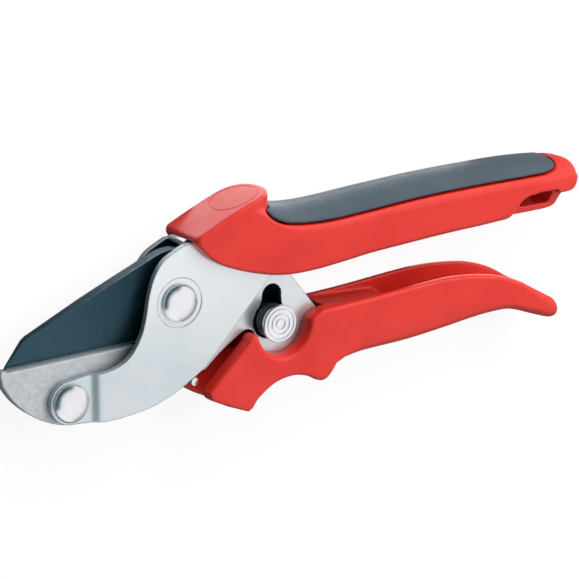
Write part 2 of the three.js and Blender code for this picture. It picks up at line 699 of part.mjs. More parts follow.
place('frame_plate_front', framePlate(1), zincPlate);
place('frame_plate_back', framePlate(-1), zincPlate);
place('frame_bridge', frameBridge(), zincPlate);
place('anvil', anvil(), castAluminium);
place('anvil_rivet', domeRivet(anvilCentre, anvilShank, armOut + plateGap), polishedSteel);
place('pivot_rivet', domeRivet([0, 0], pivotShank, frameOut - coinDepth + plateGap), polishedSteel);
place('pivot_bush', pivotBush(), polishedSteel);
place('upper_handle', upperHandle(handlePins), redPlastic);
place('soft_grip', softGrip(), greyRubber);
place('upper_handle_pin_front', pin(handlePins[0], pinRadius, pinHalf), polishedSteel);
place('upper_handle_pin_rear', pin(handlePins[1], pinRadius, pinHalf), polishedSteel);
place('spring_post', pin(springPost, postRadius, frameOut), polishedSteel);
place('return_spring', returnSpring(), springSteel);
place('lock_strike', lockStrike(), coatedSteel);

place('blade', blade(), coatedSteel);
place('lever_plate_front', leverPlate(1), zincPlate);
place('lever_plate_back', leverPlate(-1), zincPlate);
place('blade_rivet_upper', pin(bladeRivets[0], rivetRadius, leverOut), polishedSteel);
place('blade_rivet_lower', pin(bladeRivets[1], rivetRadius, leverOut), polishedSteel);
place('lower_handle', lowerHandle(), redPlastic);
place('lower_handle_pin_front', pin(leverPins[0], pinRadius, leverPinHalf), polishedSteel);
place('lower_handle_pin_rear', pin(leverPins[1], pinRadius, leverPinHalf), polishedSteel);
place('cross_pin', pin(crossPin, crossPinRadius, leverOut), polishedSteel);

place('lock_button', lockButton(), polishedSteel);
place('lock_catch', lockCatch(), coatedSteel);

const box = new THREE.Box3().setFromObject(tool);
const middle = box.getCenter(new THREE.Vector3());
tool.position.set(-middle.x, -middle.y, -box.min.z);

const shears = new THREE.Group();
shears.add(tool);

export default shears;
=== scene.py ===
"""Anvil pruning shears: the visual model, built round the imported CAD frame.

Shapes are worked out in millimetres in the tool's own frame: the blade pivot is the origin, X runs
toward the handle ends, Y toward the upper handle and Z across the tool.
"""
import json
import math

import bpy
import numpy as np
from mathutils import Matrix, Vector
from mathutils.geometry import delaunay_2d_cdt


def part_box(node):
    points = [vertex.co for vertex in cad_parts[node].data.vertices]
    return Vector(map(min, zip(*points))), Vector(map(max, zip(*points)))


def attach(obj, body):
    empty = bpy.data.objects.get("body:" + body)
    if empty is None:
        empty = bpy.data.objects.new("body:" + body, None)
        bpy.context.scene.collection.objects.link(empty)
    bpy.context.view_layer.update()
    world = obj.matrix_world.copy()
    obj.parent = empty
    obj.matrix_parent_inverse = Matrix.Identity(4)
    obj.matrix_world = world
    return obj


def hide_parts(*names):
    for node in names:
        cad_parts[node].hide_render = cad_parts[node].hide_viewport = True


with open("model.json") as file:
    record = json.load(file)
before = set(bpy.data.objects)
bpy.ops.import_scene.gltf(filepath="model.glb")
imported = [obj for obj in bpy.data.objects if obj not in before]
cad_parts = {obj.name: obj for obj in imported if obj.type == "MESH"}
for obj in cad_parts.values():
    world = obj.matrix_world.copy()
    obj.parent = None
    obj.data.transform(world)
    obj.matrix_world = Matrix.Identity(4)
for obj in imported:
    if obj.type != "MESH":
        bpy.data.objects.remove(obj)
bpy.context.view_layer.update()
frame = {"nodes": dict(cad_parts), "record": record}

MM = 0.001
SPLINE_STEPS = 6
SHARP_ANGLE = 32  # degrees
PIVOT = np.array(sum(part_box("pivot_rivet"), Vector())) / 2

# -- sizes, most as in the CAD model

BLADE_REACH = 56.2
UPPER_REACH = 152.5
LOWER_REACH = 142.6
UPPER_HALF = 9.9
LOWER_HALF = 9.5
WALL = 2.6
GRIP_THICKNESS = 2.6
GAP = 0.3
BLADE_FACE = 2.0
LEVER_IN = 2.1
LEVER_OUT = 4.1
FRAME_IN = 4.3
FRAME_OUT = 6.3
ARM_IN = 2.4
ARM_OUT = 4.4
ANVIL_FACE = 2.3
DOME_RADIUS = 5.9
DOME_HEIGHT = 2.9
COIN_RADIUS = 7.7
COIN_DEPTH = 0.4
BUSH_HOLE = 4.7
PIVOT_HOLE = 3.1
ANVIL_HOLE = 2.6
POST_HOLE = 3.1
PIN_HOLE = 2.1
ANVIL_CENTRE = (-36.5, -25.5)
ARM_RADIUS = 6.8
EDGE_TIP = (-BLADE_REACH, -13.2)
EDGE_HEEL = (-9.4, -11.45)
LOCKED = (33.2, -10.8)
FREE = (33.9, -3.1)
LOBE_RADIUS = 5.6
KEYHOLE_LIP = 0.6
STEM_HALF = 3.1
SPRING_POST = (25, 14.2)
WIRE_RADIUS = 0.78
HANDLE_PINS = ((44, 13.4), (66, 15.6))
BLADE_RIVETS = ((11.6, 6.2), (11, -8))
LEVER_PINS = ((38.5, -25), (72, -15.6))
CROSS_PIN = (6.5, -26.3)
HEAD_FRONT = 4
NECK = 44
LOWER_START = 47.6
PAD_CENTRE = 23.3
TANG_END = 76
TANG_TOP = 18
UPPER_RIBS = (0.34, 0.44, 0.54, 0.64, 0.74)
UPPER_RIB_HALF = 1.3
LOWER_RIBS = (0.38, 0.54, 0.7)
LOWER_RIB_HALF = 0.9
GRIP_GROOVE = 0.7
CROSS_PIN_BORE = 1.45


def up_at(f):
    """The place a share f of the way from the neck to the upper handle's end."""
    return NECK + f * (UPPER_REACH - NECK)


def low_at(f):
    """The place a share f of the way along the lower handle."""
    return LOWER_START + f * (LOWER_REACH - LOWER_START)


def on_upper(*points):
    return [[up_at(f), y] for f, y in points]


def on_lower(*points):
    return [[low_at(f), y] for f, y in points]


# -- curves and outlines

def through(points):
    """A smooth function of x through the given points."""
    p = np.array(points, float)
    back = np.maximum(np.arange(len(p)) - 1, 0)
    on = np.minimum(np.arange(len(p)) + 1, len(p) - 1)
    slope = (p[on, 1] - p[back, 1]) / (p[on, 0] - p[back, 0])

    def at(x):
        x = np.asarray(x, float)
        i = np.clip(np.searchsorted(p[:, 0], x, side="right") - 1, 0, len(p) - 2)
        h = p[i + 1, 0] - p[i, 0]
        t = np.clip((x - p[i, 0]) / h, 0, 1)
        a = p[i, 1] * (1 + 2 * t) * (1 - t) ** 2 + p[i + 1, 1] * t * t * (3 - 2 * t)
        return a + h * (slope[i] * t * (1 - t) ** 2 - slope[i + 1] * t * t * (1 - t))

    return at


def spline(points, steps=SPLINE_STEPS):
    """A smooth curve through points, with `steps` pieces for each span."""
    p = np.array(points, float)
    out = [p[:1]]
    t = np.linspace(0, 1, steps + 1)[1:, None]
    for i in range(len(p) - 1):
        p0, p1, p2, p3 = p[max(i - 1, 0)], p[i], p[i + 1], p[min(i + 2, len(p) - 1)]
        v0, v1 = (p2 - p0) / 2, (p3 - p1) / 2
        cubic = (2 * p1 - 2 * p2 + v0 + v1) * t ** 3 + (3 * p2 - 3 * p1 - 2 * v0 - v1) * t ** 2
        out.append(cubic + v0 * t + p1)
    return np.concatenate(out)


def arc(centre, radius, start, stop, steps=24):
    a = np.radians(np.linspace(start, stop, steps + 1))
    return np.array(centre) + radius * np.stack([np.cos(a), np.sin(a)], 1)


def outline(*stretches):
    """One closed loop from stretches of points, counter-clockwise, with no doubled points."""
    p = np.concatenate([np.array(s, float).reshape(-1, 2) for s in stretches])
    p = p[np.linalg.norm(p - np.roll(p, 1, 0), axis=1) > 0.02]
    x, y = p.T
    area = np.sum(x * np.roll(y, -1) - np.roll(x, -1) * y)
    return p if area > 0 else p[::-1]


def distance(loop, x, y):
    """Signed distance to a closed loop, negative inside."""
    x, y = np.broadcast_arrays(x, y)
    best = np.full(x.shape, 1e9)
    inside = np.zeros(x.shape, bool)
    for (ax, ay), (bx, by) in zip(loop, np.roll(loop, -1, 0)):
        ex, ey = bx - ax, by - ay
        t = np.clip(((x - ax) * ex + (y - ay) * ey) / (ex * ex + ey * ey), 0, 1)
        best = np.minimum(best, (x - ax - t * ex) ** 2 + (y - ay - t * ey) ** 2)
        if ay != by:
            crosses = (ay > y) != (by > y)
            inside ^= crosses & (x < ax + (y - ay) * ex / ey)
    return np.where(inside, -1, 1) * np.sqrt(best)


def both(a, b, r=0.0):
    """The part common to two shapes, with the edge between them rounded by r."""
    if np.all(np.asarray(r) == 0):
        return np.maximum(a, b)
    corner = np.sqrt(np.maximum(a + r, 0) ** 2 + np.maximum(b + r, 0) ** 2)
    return np.minimum(np.maximum(a, b), -r) + corner


def join(a, b, r=0.0):
    return -both(-a, -b, r)


def cut(a, b, r=0.0):
    return both(a, -b, r)


def smoothstep(x, low, high):
    t = np.clip((x - low) / (high - low), 0, 1)
    return t * t * (3 - 2 * t)


# -- meshes

def add_object(name, data):
    obj = bpy.data.objects.new(name, data)
    bpy.context.scene.collection.objects.link(obj)
    return obj


def make_mesh(name, verts, faces, materials, indices=None, normals=None):
    """A mesh object from millimetre points in the tool's frame."""
    mesh = bpy.data.meshes.new(name)
    verts = np.asarray(verts, float) * MM + PIVOT
    mesh.from_pydata(verts.tolist(), [], [list(f) for f in faces])
    for material in materials:
        mesh.materials.append(material)
    if indices is not None:
        mesh.polygons.foreach_set("material_index", np.asarray(indices, np.int32))
    mesh.polygons.foreach_set("use_smooth", np.ones(len(mesh.polygons), bool))
    mesh.update()
    if normals is not None:
        mesh.normals_split_custom_set_from_vertices(normals)
    return add_object(name, mesh)


def crisp(obj):
    """Flat faces stay flat and bevels stay smooth."""
    obj.data.set_sharp_from_angle(angle=math.radians(SHARP_ANGLE))
    weighted = obj.modifiers.new("weighted", "WEIGHTED_NORMAL")
    weighted.keep_sharp = True
    return obj


def bands(rings):
    """The faces between each ring of point numbers and the next, less the points that coincide."""
    faces = []
    for low, high in zip(rings, rings[1:]):
        for k in range(len(low)):
            m = (k + 1) % len(low)
            face = list(dict.fromkeys((low[k], low[m], high[m], high[k])))
            if len(face) > 2:
                faces.append(face)
    return faces


def face_centres(obj):
    return (np.array([tuple(p.center) for p in obj.data.polygons]) - PIVOT) / MM


def material_index(obj):
    return np.array([p.material_index for p in obj.data.polygons], np.int32)


def paint_faces(obj, index):
    obj.data.polygons.foreach_set("material_index", np.asarray(index, np.int32))


def axis_steps(*stretches):
    """Grid lines along one axis; each stretch is (from, to, spacing)."""
    lines = []
    for a, b, spacing in stretches:
        lines.append(np.linspace(a, b, max(int(round((b - a) / spacing)), 1), endpoint=False))
    return np.concatenate(lines + [[stretches[-1][1]]])


def grid_sample(field, axes, points):
    """Trilinear value of a gridded field at points."""
    index, part = [], []
    for axis, p in zip(axes, points.T):
        i = np.clip(np.searchsorted(axis, p) - 1, 0, len(axis) - 2)
        index.append(i)
        part.append((p - axis[i]) / (axis[i + 1] - axis[i]))
    out = 0
    for bits in np.ndindex(2, 2, 2):
        bits = bits[::-1]
        weight = 1
        for bit, t in zip(bits, part):
            weight = weight * (t if bit else 1 - t)
        out = out + weight * field[tuple(i + bit for i, bit in zip(index, bits))]
    return out


def net(name, axes, shape, material):
    """A closed mesh of the surface where shape(x, y, z) is zero: one quad for each crossed grid edge,
    with its corners then drawn onto the surface."""
    xs, ys, zs = axes
    field = shape(xs[:, None, None], ys[None, :, None], zs[None, None, :])
    inside = field < 0
    count = np.zeros(tuple(n - 1 for n in field.shape), np.int8)
    for a, b, c in np.ndindex(2, 2, 2):
        count += inside[a:len(xs) - 1 + a, b:len(ys) - 1 + b, c:len(zs) - 1 + c]
    active = (count > 0) & (count < 8)
    number = np.full(active.shape, -1, np.int64)
    number[active] = np.arange(active.sum())
    total = np.zeros((active.sum(), 3))
    hits = np.zeros(active.sum())
    quads = []
    for a in range(3):
        edge = np.argwhere(np.diff(inside, axis=a))
        f0 = field[tuple(edge.T)]
        f1 = field[tuple((edge + np.eye(3, dtype=int)[a]).T)]
        point = np.stack([axes[k][edge[:, k]] for k in range(3)], 1)
        point[:, a] += f0 / (f0 - f1) * (axes[a][edge[:, a] + 1] - axes[a][edge[:, a]])
        b, c = (a + 1) % 3, (a + 2) % 3
        corners = []
        for db, dc in ((-1, -1), (0, -1), (0, 0), (-1, 0)):
            cell = edge.copy()
            cell[:, b] += db
            cell[:, c] += dc
            corner = number[tuple(cell.T)]
            corners.append(corner)
            hits += np.bincount(corner, minlength=len(hits))
            for k in range(3):
                total[:, k] += np.bincount(corner, weights=point[:, k], minlength=len(hits))
        quad = np.stack(corners, 1)
        flip = f0 > 0
        quad[flip] = quad[flip][:, ::-1]
        quads.append(quad)
    verts = total / hits[:, None]
    slopes = np.gradient(field, *axes)
    for _ in range(3):
        value = grid_sample(field, axes, verts)
        slope = np.stack([grid_sample(s, axes, verts) for s in slopes], 1)
        size = np.maximum(np.sum(slope ** 2, 1), 0.2)
        step = (value / size)[:, None] * slope
        verts = verts - np.clip(step, -0.12, 0.12)
    normals = np.stack([grid_sample(s, axes, verts) for s in slopes], 1)
    normals /= np.maximum(np.linalg.norm(normals, axis=1), 1e-9)[:, None]
    return make_mesh(name, verts, np.concatenate(quads), [material], normals=normals)


def unit(rows):
    return rows / np.linalg.norm(rows, axis=1)[:, None]


def inset(loop, amount):
    """The loop moved to its left by amount, corners mitred."""
    before = unit(loop - np.roll(loop, 1, 0))
    after = unit(np.roll(loop, -1, 0) - loop)
    n0 = np.stack([-before[:, 1], before[:, 0]], 1)
    n1 = np.stack([-after[:, 1], after[:, 0]], 1)
    scale = np.maximum(1 + np.sum(n0 * n1, 1), 0.5)
    return loop + amount * (n0 + n1) / scale[:, None]


def two_sided(half):
    """A line, then its mirror image run backwards."""
    half = np.array(half, float)
    return np.concatenate([half, (half * (1, -1))[::-1]])


def closed(loop):
    """The loop as a line that ends where it begins."""
    return np.concatenate([loop, loop[:1]])


def circle(centre, radius, sides=64):
    return arc(centre, radius, 0, 360 - 360 / sides, sides - 1)


def pin_holes(centres):
    return [circle(p, PIN_HOLE, 32) for p in centres]


def sheet(name, outer, holes, low, high, materials, edge=0.3, steps=3, points=(), lines=(), inner=None):
    """A plate with rounded edges. low and high give the heights of its faces for x and y.
    The second material goes on its side walls, the third on the face that `inner` names by 0 or 1.
    A hole too near the outline to leave a rim between the two rounded edges isn't drilled."""
    holes = [h for h in holes if distance(outer, *h.T).max() < -2 * edge - 0.05]
    loops = [outer] + [h[::-1] for h in holes]
    verts, faces, index = [], [], []
    caps = [], []
    flat_points, constraints = [], []
    for loop in loops:
        n = len(loop)
        rings = []
        for side in (0, 1):
            angles = np.linspace(0, math.pi / 2, steps + 1)
            for a in angles if side == 0 else angles[::-1]:
                ring = inset(loop, edge * (1 - math.sin(a)))
                drop = edge * (1 - math.cos(a))
                face = low(*ring.T) + drop if side == 0 else high(*ring.T) - drop
                rings.append(range(len(verts), len(verts) + n))
                verts.extend(np.column_stack([ring, face]))
        walls = bands(rings)
        faces += walls
        index += [1] * len(walls)
        start = len(flat_points)
        flat_points.extend(inset(loop, edge))
        constraints.extend((start + k, start + (k + 1) % n) for k in range(n))
        caps[0].extend(rings[0])
        caps[1].extend(rings[-1])
    border = len(flat_points)
    for line in lines:
        start = len(flat_points)
        flat_points.extend(line)
        constraints.extend((start + k, start + k + 1) for k in range(len(line) - 1))
    flat_points.extend(points)
    flat = np.array(flat_points, float)
    keep = np.ones(len(flat), bool)
    spare = flat[border:]
    for loop in loops:
        signed = distance(loop, *spare.T)
        keep[border:] &= (signed if loop is not outer else -signed) > edge + 0.05
    moved = np.cumsum(keep) - 1
    constraints = [(int(moved[a]), int(moved[b])) for a, b in constraints if keep[a] and keep[b]]
    flat = [Vector(p) for p in flat[keep]]
    found, _, tri, origins, *_ = delaunay_2d_cdt(flat, constraints, [], 0, 1e-6)
    place = np.array([tuple(v) for v in found])
    tri = np.array(tri)
    middle = place[tri].mean(1)
    wanted = np.ones(len(tri), bool)
    for loop in loops:
        signed = distance(inset(loop, edge), *middle.T)
        wanted &= (signed if loop is not outer else -signed) > 0
    tri = tri[wanted]
    for side, height in ((0, low), (1, high)):
        base = len(verts)
        number = np.arange(len(place)) + base
        for k, origin in enumerate(origins):
            if origin and origin[0] < border:
                number[k] = caps[side][origin[0]]
        verts.extend(np.column_stack([place, height(*place.T)]))
        faces.extend(number[t if side else t[::-1]] for t in tri)
        index.extend([2 if side == inner else 0] * len(tri))
    verts = np.array(verts)
    used = np.unique(np.concatenate(faces))
    renumber = np.full(len(verts), -1)
    renumber[used] = np.arange(len(used))
    faces = [renumber[f] for f in faces]
    return crisp(make_mesh(name, verts[used], faces, materials, index))


def lattice(x0, x1, dx, y0, y1, dy):
    x, y = np.meshgrid(np.arange(x0, x1, dx), np.arange(y0, y1, dy))
    y = y + dy / 2 * (np.arange(x.shape[1]) % 2)
    return np.column_stack([x.ravel(), y.ravel()])


def level(z):
    return lambda x, y: np.full(np.shape(x), float(z))


def lathe(name, centre, profile, materials, sides=96):
    """A turned piece about an axis along Z; profile points are (radius, height) from bottom to top."""
    profile = np.array(profile, float)
    a = np.linspace(0, 2 * math.pi, sides, endpoint=False)
    verts, rings = [], []
    for r, z in profile:
        if r < 1e-6:
            rings.append([len(verts)] * sides)
            verts.append((*centre, z))
        else:
            rings.append(range(len(verts), len(verts) + sides))
            ring = np.stack([r * np.cos(a), r * np.sin(a)], 1) + centre
            verts.extend(np.column_stack([ring, np.full(sides, z)]))
    return crisp(make_mesh(name, verts, bands(rings), materials))


def tube(name, path, radius, materials, sides=16):
    """A round wire along a path, with rounded ends."""
    path = np.array(path, float)
    along = unit(np.gradient(path, axis=0))
    side = unit(np.cross(along, (0, 0, 1.0)))
    up = np.cross(side, along)
    a = np.linspace(0, 2 * math.pi, sides, endpoint=False)
    rings = []
    for i in range(len(path)):
        rings.append(path[i] + radius * (np.cos(a)[:, None] * side[i] + np.sin(a)[:, None] * up[i]))
    for end, sign in ((0, -1), (-1, 1)):
        caps = []
        for t in (0.35, 0.7, 0.95):
            small = path[end] + (rings[end] - path[end]) * math.sqrt(1 - t * t)
            caps.append(small + sign * along[end] * radius * t * 0.6)
        rings = caps[::-1] + rings if end == 0 else rings + caps
    verts = np.concatenate(rings)
    numbers = np.arange(len(verts)).reshape(-1, sides)
    faces = bands(numbers) + [numbers[0, ::-1], numbers[-1]]
    return make_mesh(name, verts, faces, materials)


# -- materials

def linear(rgb):
    """An sRGB triple of 0 to 255 as the linear colour that nodes take."""
    c = np.array(rgb, float) / 255
    return (*np.where(c <= 0.04045, c / 12.92, ((c + 0.055) / 1.055) ** 2.4).tolist(), 1.0)


def add_node(tree, kind, inputs=(), **settings):
    """A shader node; an input that is a socket is linked, and any other is set."""
    made = tree.nodes.new("ShaderNode" + kind)
    for key, value in settings.items():
        setattr(made, key, value)
    for key, value in dict(inputs).items():
        if isinstance(value, bpy.types.NodeSocket):
            tree.links.new(value, made.inputs[key])
        else:
            made.inputs[key].default_value = value
    return made


class Finish:
    """A principled material with its detail made by nodes; sizes are in millimetres."""

    def __init__(self, name, metallic=0.0, **sockets):
        self.material = bpy.data.materials.new(name)
        self.material.use_nodes = True
        self.tree = self.material.node_tree
        self.shader = self.tree.nodes["Principled BSDF"]
        self.shader.inputs["Metallic"].default_value = metallic
        for key, value in sockets.items():
            self.shader.inputs[key.replace("_", " ")].default_value = value
        self.where = self.tree.nodes.new("ShaderNodeTexCoord").outputs["Object"]
        self.normal = None

    def node(self, kind, inputs=(), **settings):
        return add_node(self.tree, kind, inputs, **settings)

    def stretch(self, scale, turn=(0, 0, 0)):
        """Coordinates turned and scaled, for brushed and drawn marks."""
        angles = [math.radians(t) for t in turn]
        inputs = {"Vector": self.where, "Rotation": angles, "Scale": scale}
        return self.node("Mapping", inputs).outputs[0]

    def noise(self, size, detail=3.0, rough=0.5, where=None):
        """Noise whose features are about `size` millimetres across."""
        inputs = {"Vector": where or self.where, "Scale": 1 / MM / size, "Detail": detail}
        return self.node("TexNoise", {**inputs, "Roughness": rough}).outputs["Fac"]

    def ramp(self, value, low, high, to_low=0.0, to_high=1.0):
        inputs = {"Value": value, "From Min": low, "From Max": high, "To Min": to_low, "To Max": to_high}
        return self.node("MapRange", inputs).outputs[0]

    def mix(self, factor, a, b):
        """A blend of two colours, each a socket or an sRGB triple of 0 to 255."""
        a, b = (linear(c) if isinstance(c, tuple) else c for c in (a, b))
        return self.node("Mix", {0: factor, 6: a, 7: b}, data_type="RGBA").outputs[2]

    def blend(self, value, low, high, a, b):
        """From colour a where a value is low to colour b where it is high."""
        return self.mix(self.ramp(value, low, high), a, b)

    def marks(self, amount, share, base, colour):
        """The base colour with marks of another over it, which makes the finish's colour."""
        self.colour(self.mix(self.times(amount, share), base, colour))

    def times(self, a, b):
        return self.node("Math", {0: a, 1: b}, operation="MULTIPLY").outputs[0]

    def along(self, axis, start, stop):
        """0 to 1 between two places along an axis of the tool, in millimetres from the pivot."""
        place = self.node("SeparateXYZ", {0: self.where}).outputs[axis]
        return self.ramp(place, PIVOT[axis] + start * MM, PIVOT[axis] + stop * MM)

    def colour(self, socket):
        self.tree.links.new(socket, self.shader.inputs["Base Color"])

    def rough(self, value, low, high):
        self.tree.links.new(self.ramp(value, 0.3, 0.7, low, high), self.shader.inputs["Roughness"])

    def bump(self, height, depth, strength=1.0):
        """Adds a bump of `depth` millimetres."""
        inputs = {"Height": height, "Distance": depth * MM, "Strength": strength}
        if self.normal is not None:
            inputs["Normal"] = self.normal
        self.normal = self.node("Bump", inputs).outputs[0]
        self.tree.links.new(self.normal, self.shader.inputs["Normal"])


def plastic():
    f = Finish("red_plastic", Coat_Weight=0.2, Coat_Roughness=0.2, Specular_IOR_Level=0.42)
    cloud = f.noise(18, 2)
    base = f.blend(cloud, 0.35, 0.65, (216, 42, 33), (223, 50, 40))
    specks = f.ramp(f.noise(0.8, 4, 0.6), 0.66, 0.74)
    f.marks(specks, 0.25, base, (192, 32, 27))
    f.rough(f.noise(5, 4), 0.34, 0.45)
    f.bump(f.noise(0.35, 3), 0.012)
    f.bump(f.noise(7, 2), 0.02)
    return f.material


def rubber():
    f = Finish("grey_rubber", Specular_IOR_Level=0.35, Sheen_Weight=0.08, Sheen_Roughness=0.5)
    cloud = f.noise(15, 3)
    base = f.blend(cloud, 0.3, 0.7, (63, 76, 86), (72, 85, 94))
    dust = f.ramp(f.noise(0.9, 5, 0.7), 0.62, 0.75)
    f.marks(dust, 0.3, base, (112, 124, 132))
    f.rough(f.noise(3, 4), 0.45, 0.6)
    f.bump(f.noise(0.3, 2), 0.02)
    return f.material


def zinc():
    f = Finish("zinc_plate", 0.8, Specular_IOR_Level=0.5)
    tint = f.noise(14, 2)
    pale = f.blend(tint, 0.35, 0.65, (205, 216, 221), (218, 222, 226))
    # Painted light: the plates paler toward the upper handle, the side the light comes from.
    pale = f.mix(f.along(1, -20, 8), pale, (234, 238, 241))
    blush = f.ramp(f.noise(9, 2, 0.4), 0.56, 0.72)
    pale = f.mix(f.times(blush, 0.3), pale, (228, 212, 218))
    spangle = f.ramp(f.noise(0.7, 4, 0.6), 0.35, 0.65)
    f.marks(spangle, 0.06, pale, (168, 182, 190))
    f.rough(f.noise(1.2, 5, 0.6), 0.28, 0.33)
    f.bump(f.noise(1.0, 2, where=f.stretch((0.04, 1, 1), (0, 0, 20))), 0.003)
    return f.material


def sheared():
    """The cut edges of the plates: bright steel with fine lines through its thickness."""
    f = Finish("sheared_edge", 0.6)
    lines = f.noise(0.3, 3, where=f.stretch((1, 1, 0.12)))
    f.colour(f.blend(lines, 0.3, 0.7, (150, 166, 174), (186, 198, 203)))
    f.rough(f.noise(0.6, 3), 0.28, 0.36)
    f.bump(lines, 0.01)
    return f.material


def painted_shade():
    """The faces inside the stack of plates, painted dark as painted shade for the gaps between them."""
    f = Finish("painted_shade_steel", 0.4, Specular_IOR_Level=0.4)
    mottle = f.noise(3, 4, 0.6)
    # Painted shade: near-black teal for the faces that lie in shade inside the stack.
    f.colour(f.blend(mottle, 0.35, 0.65, (12, 26, 32), (30, 52, 60)))
    f.rough(mottle, 0.28, 0.5)
    f.bump(mottle, 0.02)
    return f.material


def steel():
    f = Finish("polished_steel", 1.0)
    base = f.blend(f.noise(4, 3), 0.35, 0.65, (230, 232, 235), (240, 241, 243))
    pits = f.ramp(f.noise(0.5, 4, 0.7), 0.68, 0.78)
    f.marks(pits, 0.1, base, (140, 150, 156))
    f.rough(f.noise(2.5, 3), 0.28, 0.3)
    return f.material


def coated():
    f = Finish("coated_steel", 0.7, Specular_IOR_Level=0.3)
    base = f.blend(f.noise(12, 3), 0.3, 0.7, (44, 73, 85), (52, 79, 91))
    # Painted shade: the coat darker toward the pivot, where the plates shade the blade.
    base = f.mix(f.along(0, -32, -8), base, (22, 50, 62))
    marks = f.ramp(f.noise(1.6, 5, 0.7, f.stretch((1, 0.15, 1), (0, 0, 8))), 0.6, 0.75)
    f.marks(marks, 0.14, base, (84, 108, 120))
    f.rough(f.noise(4, 4), 0.28, 0.4)
    f.bump(f.noise(0.3, 3), 0.006)
    return f.material


def spine_highlight():
    """The blade's back, painted paler as a painted highlight where it faces the light, and darker toward
    the tip.
    """
    f = Finish("spine_highlight_coat", 0.45, Specular_IOR_Level=0.5)
    streak = f.noise(1.2, 4, 0.6, f.stretch((0.25, 1, 1), (0, 0, 22)))
    pale = f.blend(streak, 0.35, 0.65, (96, 112, 126), (122, 136, 149))
    f.colour(f.mix(f.along(0, -45, -12), (60, 84, 97), pale))
    f.rough(streak, 0.28, 0.42)
    f.bump(streak, 0.01)
    return f.material


def honed():
    f = Finish("honed_edge", 0.9)
    lines = f.noise(0.2, 3, where=f.stretch((1, 0.08, 1)))
    f.colour(f.blend(lines, 0.3, 0.7, (128, 146, 155), (186, 196, 201)))
    f.rough(lines, 0.28, 0.38)
    f.bump(lines, 0.01)
    return f.material


def cast():
    f = Finish("cast_anvil", 0.55, Specular_IOR_Level=0.5)
    base = f.blend(f.noise(1.8, 4, 0.6), 0.35, 0.65, (192, 196, 201), (210, 213, 217))
    # Painted shadow: the anvil darker toward the frame plates' edge, which shades it.
    base = f.mix(f.along(0, -27, -16), base, (132, 142, 150))
    pits = f.ramp(f.noise(0.45, 5, 0.75), 0.55, 0.68)
    f.marks(pits, 0.5, base, (122, 126, 135))
    f.rough(f.noise(0.8, 4), 0.4, 0.58)
    f.bump(f.noise(0.4, 4, 0.7), 0.05)
    return f.material


def spring_wire():
    f = Finish("spring_steel", 0.9)
    lines = f.noise(0.4, 3)
    f.colour(f.blend(lines, 0.3, 0.7, (92, 100, 106), (140, 147, 152)))
    f.rough(lines, 0.28, 0.42)
    f.bump(lines, 0.01)
    return f.material


RED = plastic()
RUBBER = rubber()
ZINC = zinc()
SHEARED = sheared()
PAINTED_SHADE = painted_shade()
SPINE_HIGHLIGHT = spine_highlight()
STEEL = steel()
COAT = coated()
HONED = honed()
CAST = cast()
WIRE = spring_wire()
SLOT_MATERIALS = dict(
    red_plastic=RED, grey_rubber=RUBBER, zinc_plate=ZINC, polished_steel=STEEL, coated_steel=COAT,
    cast_anvil=CAST, spring_steel=WIRE,
)
for row in frame["record"]["subparts"]:
    node = frame["nodes"][row["node"]]
    node.data.materials.clear()
    node.data.materials.append(SLOT_MATERIALS[row["material_slot"]])


def piece(obj, body, slot, *nodes):
    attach(obj, body)
    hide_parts(*nodes)


# -- upper handle and grip

head_roof = through([
    [HEAD_FRONT, 19.7], [12, 23.5], [20, 27], [24, 28.5], [28, 29.7], [31, 30.3], [36, 30.5],
])
upper_top = through([
    [HEAD_FRONT, 19.3], [14, 23.5], [22, 26.6], [26, 26.9], [30, 26], [35, 24.8], [40, 24.1],
    *on_upper((0.06, 24.1), (0.22, 25.4), (0.4, 26.8), (0.6, 27.5), (0.75, 27.6), (0.885, 26.8),
              (0.945, 25.6), (0.982, 23.6)),
    [UPPER_REACH, 21],
])
upper_low = through([
    [HEAD_FRONT, 18], [10.1, 12], [17.5, 8.4], [27.8, 5.3], [36.3, 3.9], [NECK + 2.4, 3.9],
    *on_upper((0.12, 4.9), (0.213, 6.1), (0.31, 6.9), (0.41, 7.7), (0.507, 8.4), (0.608, 8.9),
              (0.71, 9.6), (0.82, 9.9), (0.88, 10.3), (0.903, 11.3), (0.925, 14.2), (0.949, 15),
              (0.972, 16), (0.988, 17.6)),
    [UPPER_REACH, 20],
])
side_sweep = through([
    [NECK, UPPER_HALF],
    *on_upper((0.3, 9.6), (0.75, 9.6), (0.9, 9.0), (0.96, 7.5), (0.985, 5.3)),
    [UPPER_REACH, 2.5],
])
upper_edge = through([
    [HEAD_FRONT, 0.8], [21, 1], [26, 2.6], [31, 4.8], [NECK, 8], [up_at(0.85), 8], [UPPER_REACH, 4.4],
])
upper_low_edge = through([[HEAD_FRONT, 0.8], [30, 1.2], [NECK + 10, 1.6], [UPPER_REACH, 2.2]])


def upper_half(x):
    return np.minimum(side_sweep(x), UPPER_HALF)


def upper_side_loop():
    x = np.linspace(HEAD_FRONT, UPPER_REACH, 260)
    return outline(np.column_stack([x, upper_low(x)]), np.column_stack([x, upper_top(x)])[::-1])


def head_corner():
    """The rounded front corner of the head, seen from above."""
    return arc((HEAD_FRONT + 2, UPPER_HALF - 2), 2, 180, 90, 8)


def upper_plan_loop():
    x = np.concatenate([np.linspace(HEAD_FRONT + 2, 120, 30), np.linspace(122, UPPER_REACH, 50)])
    near = np.column_stack([x, upper_half(x)])
    side = np.concatenate([head_corner(), near])
    return outline(side * (1, -1), side[::-1])


def upper_form(x, y, z):
    """The handle's full form."""
    side = distance(UPPER_SIDE, x, y)
    plan = distance(UPPER_PLAN, x, z)
    share = smoothstep((y - upper_low(x)) / np.maximum(upper_top(x) - upper_low(x), 0.5), 0.35, 0.6)
    radius = upper_low_edge(x) * (1 - share) + upper_edge(x) * share
    return both(side, plan, radius)


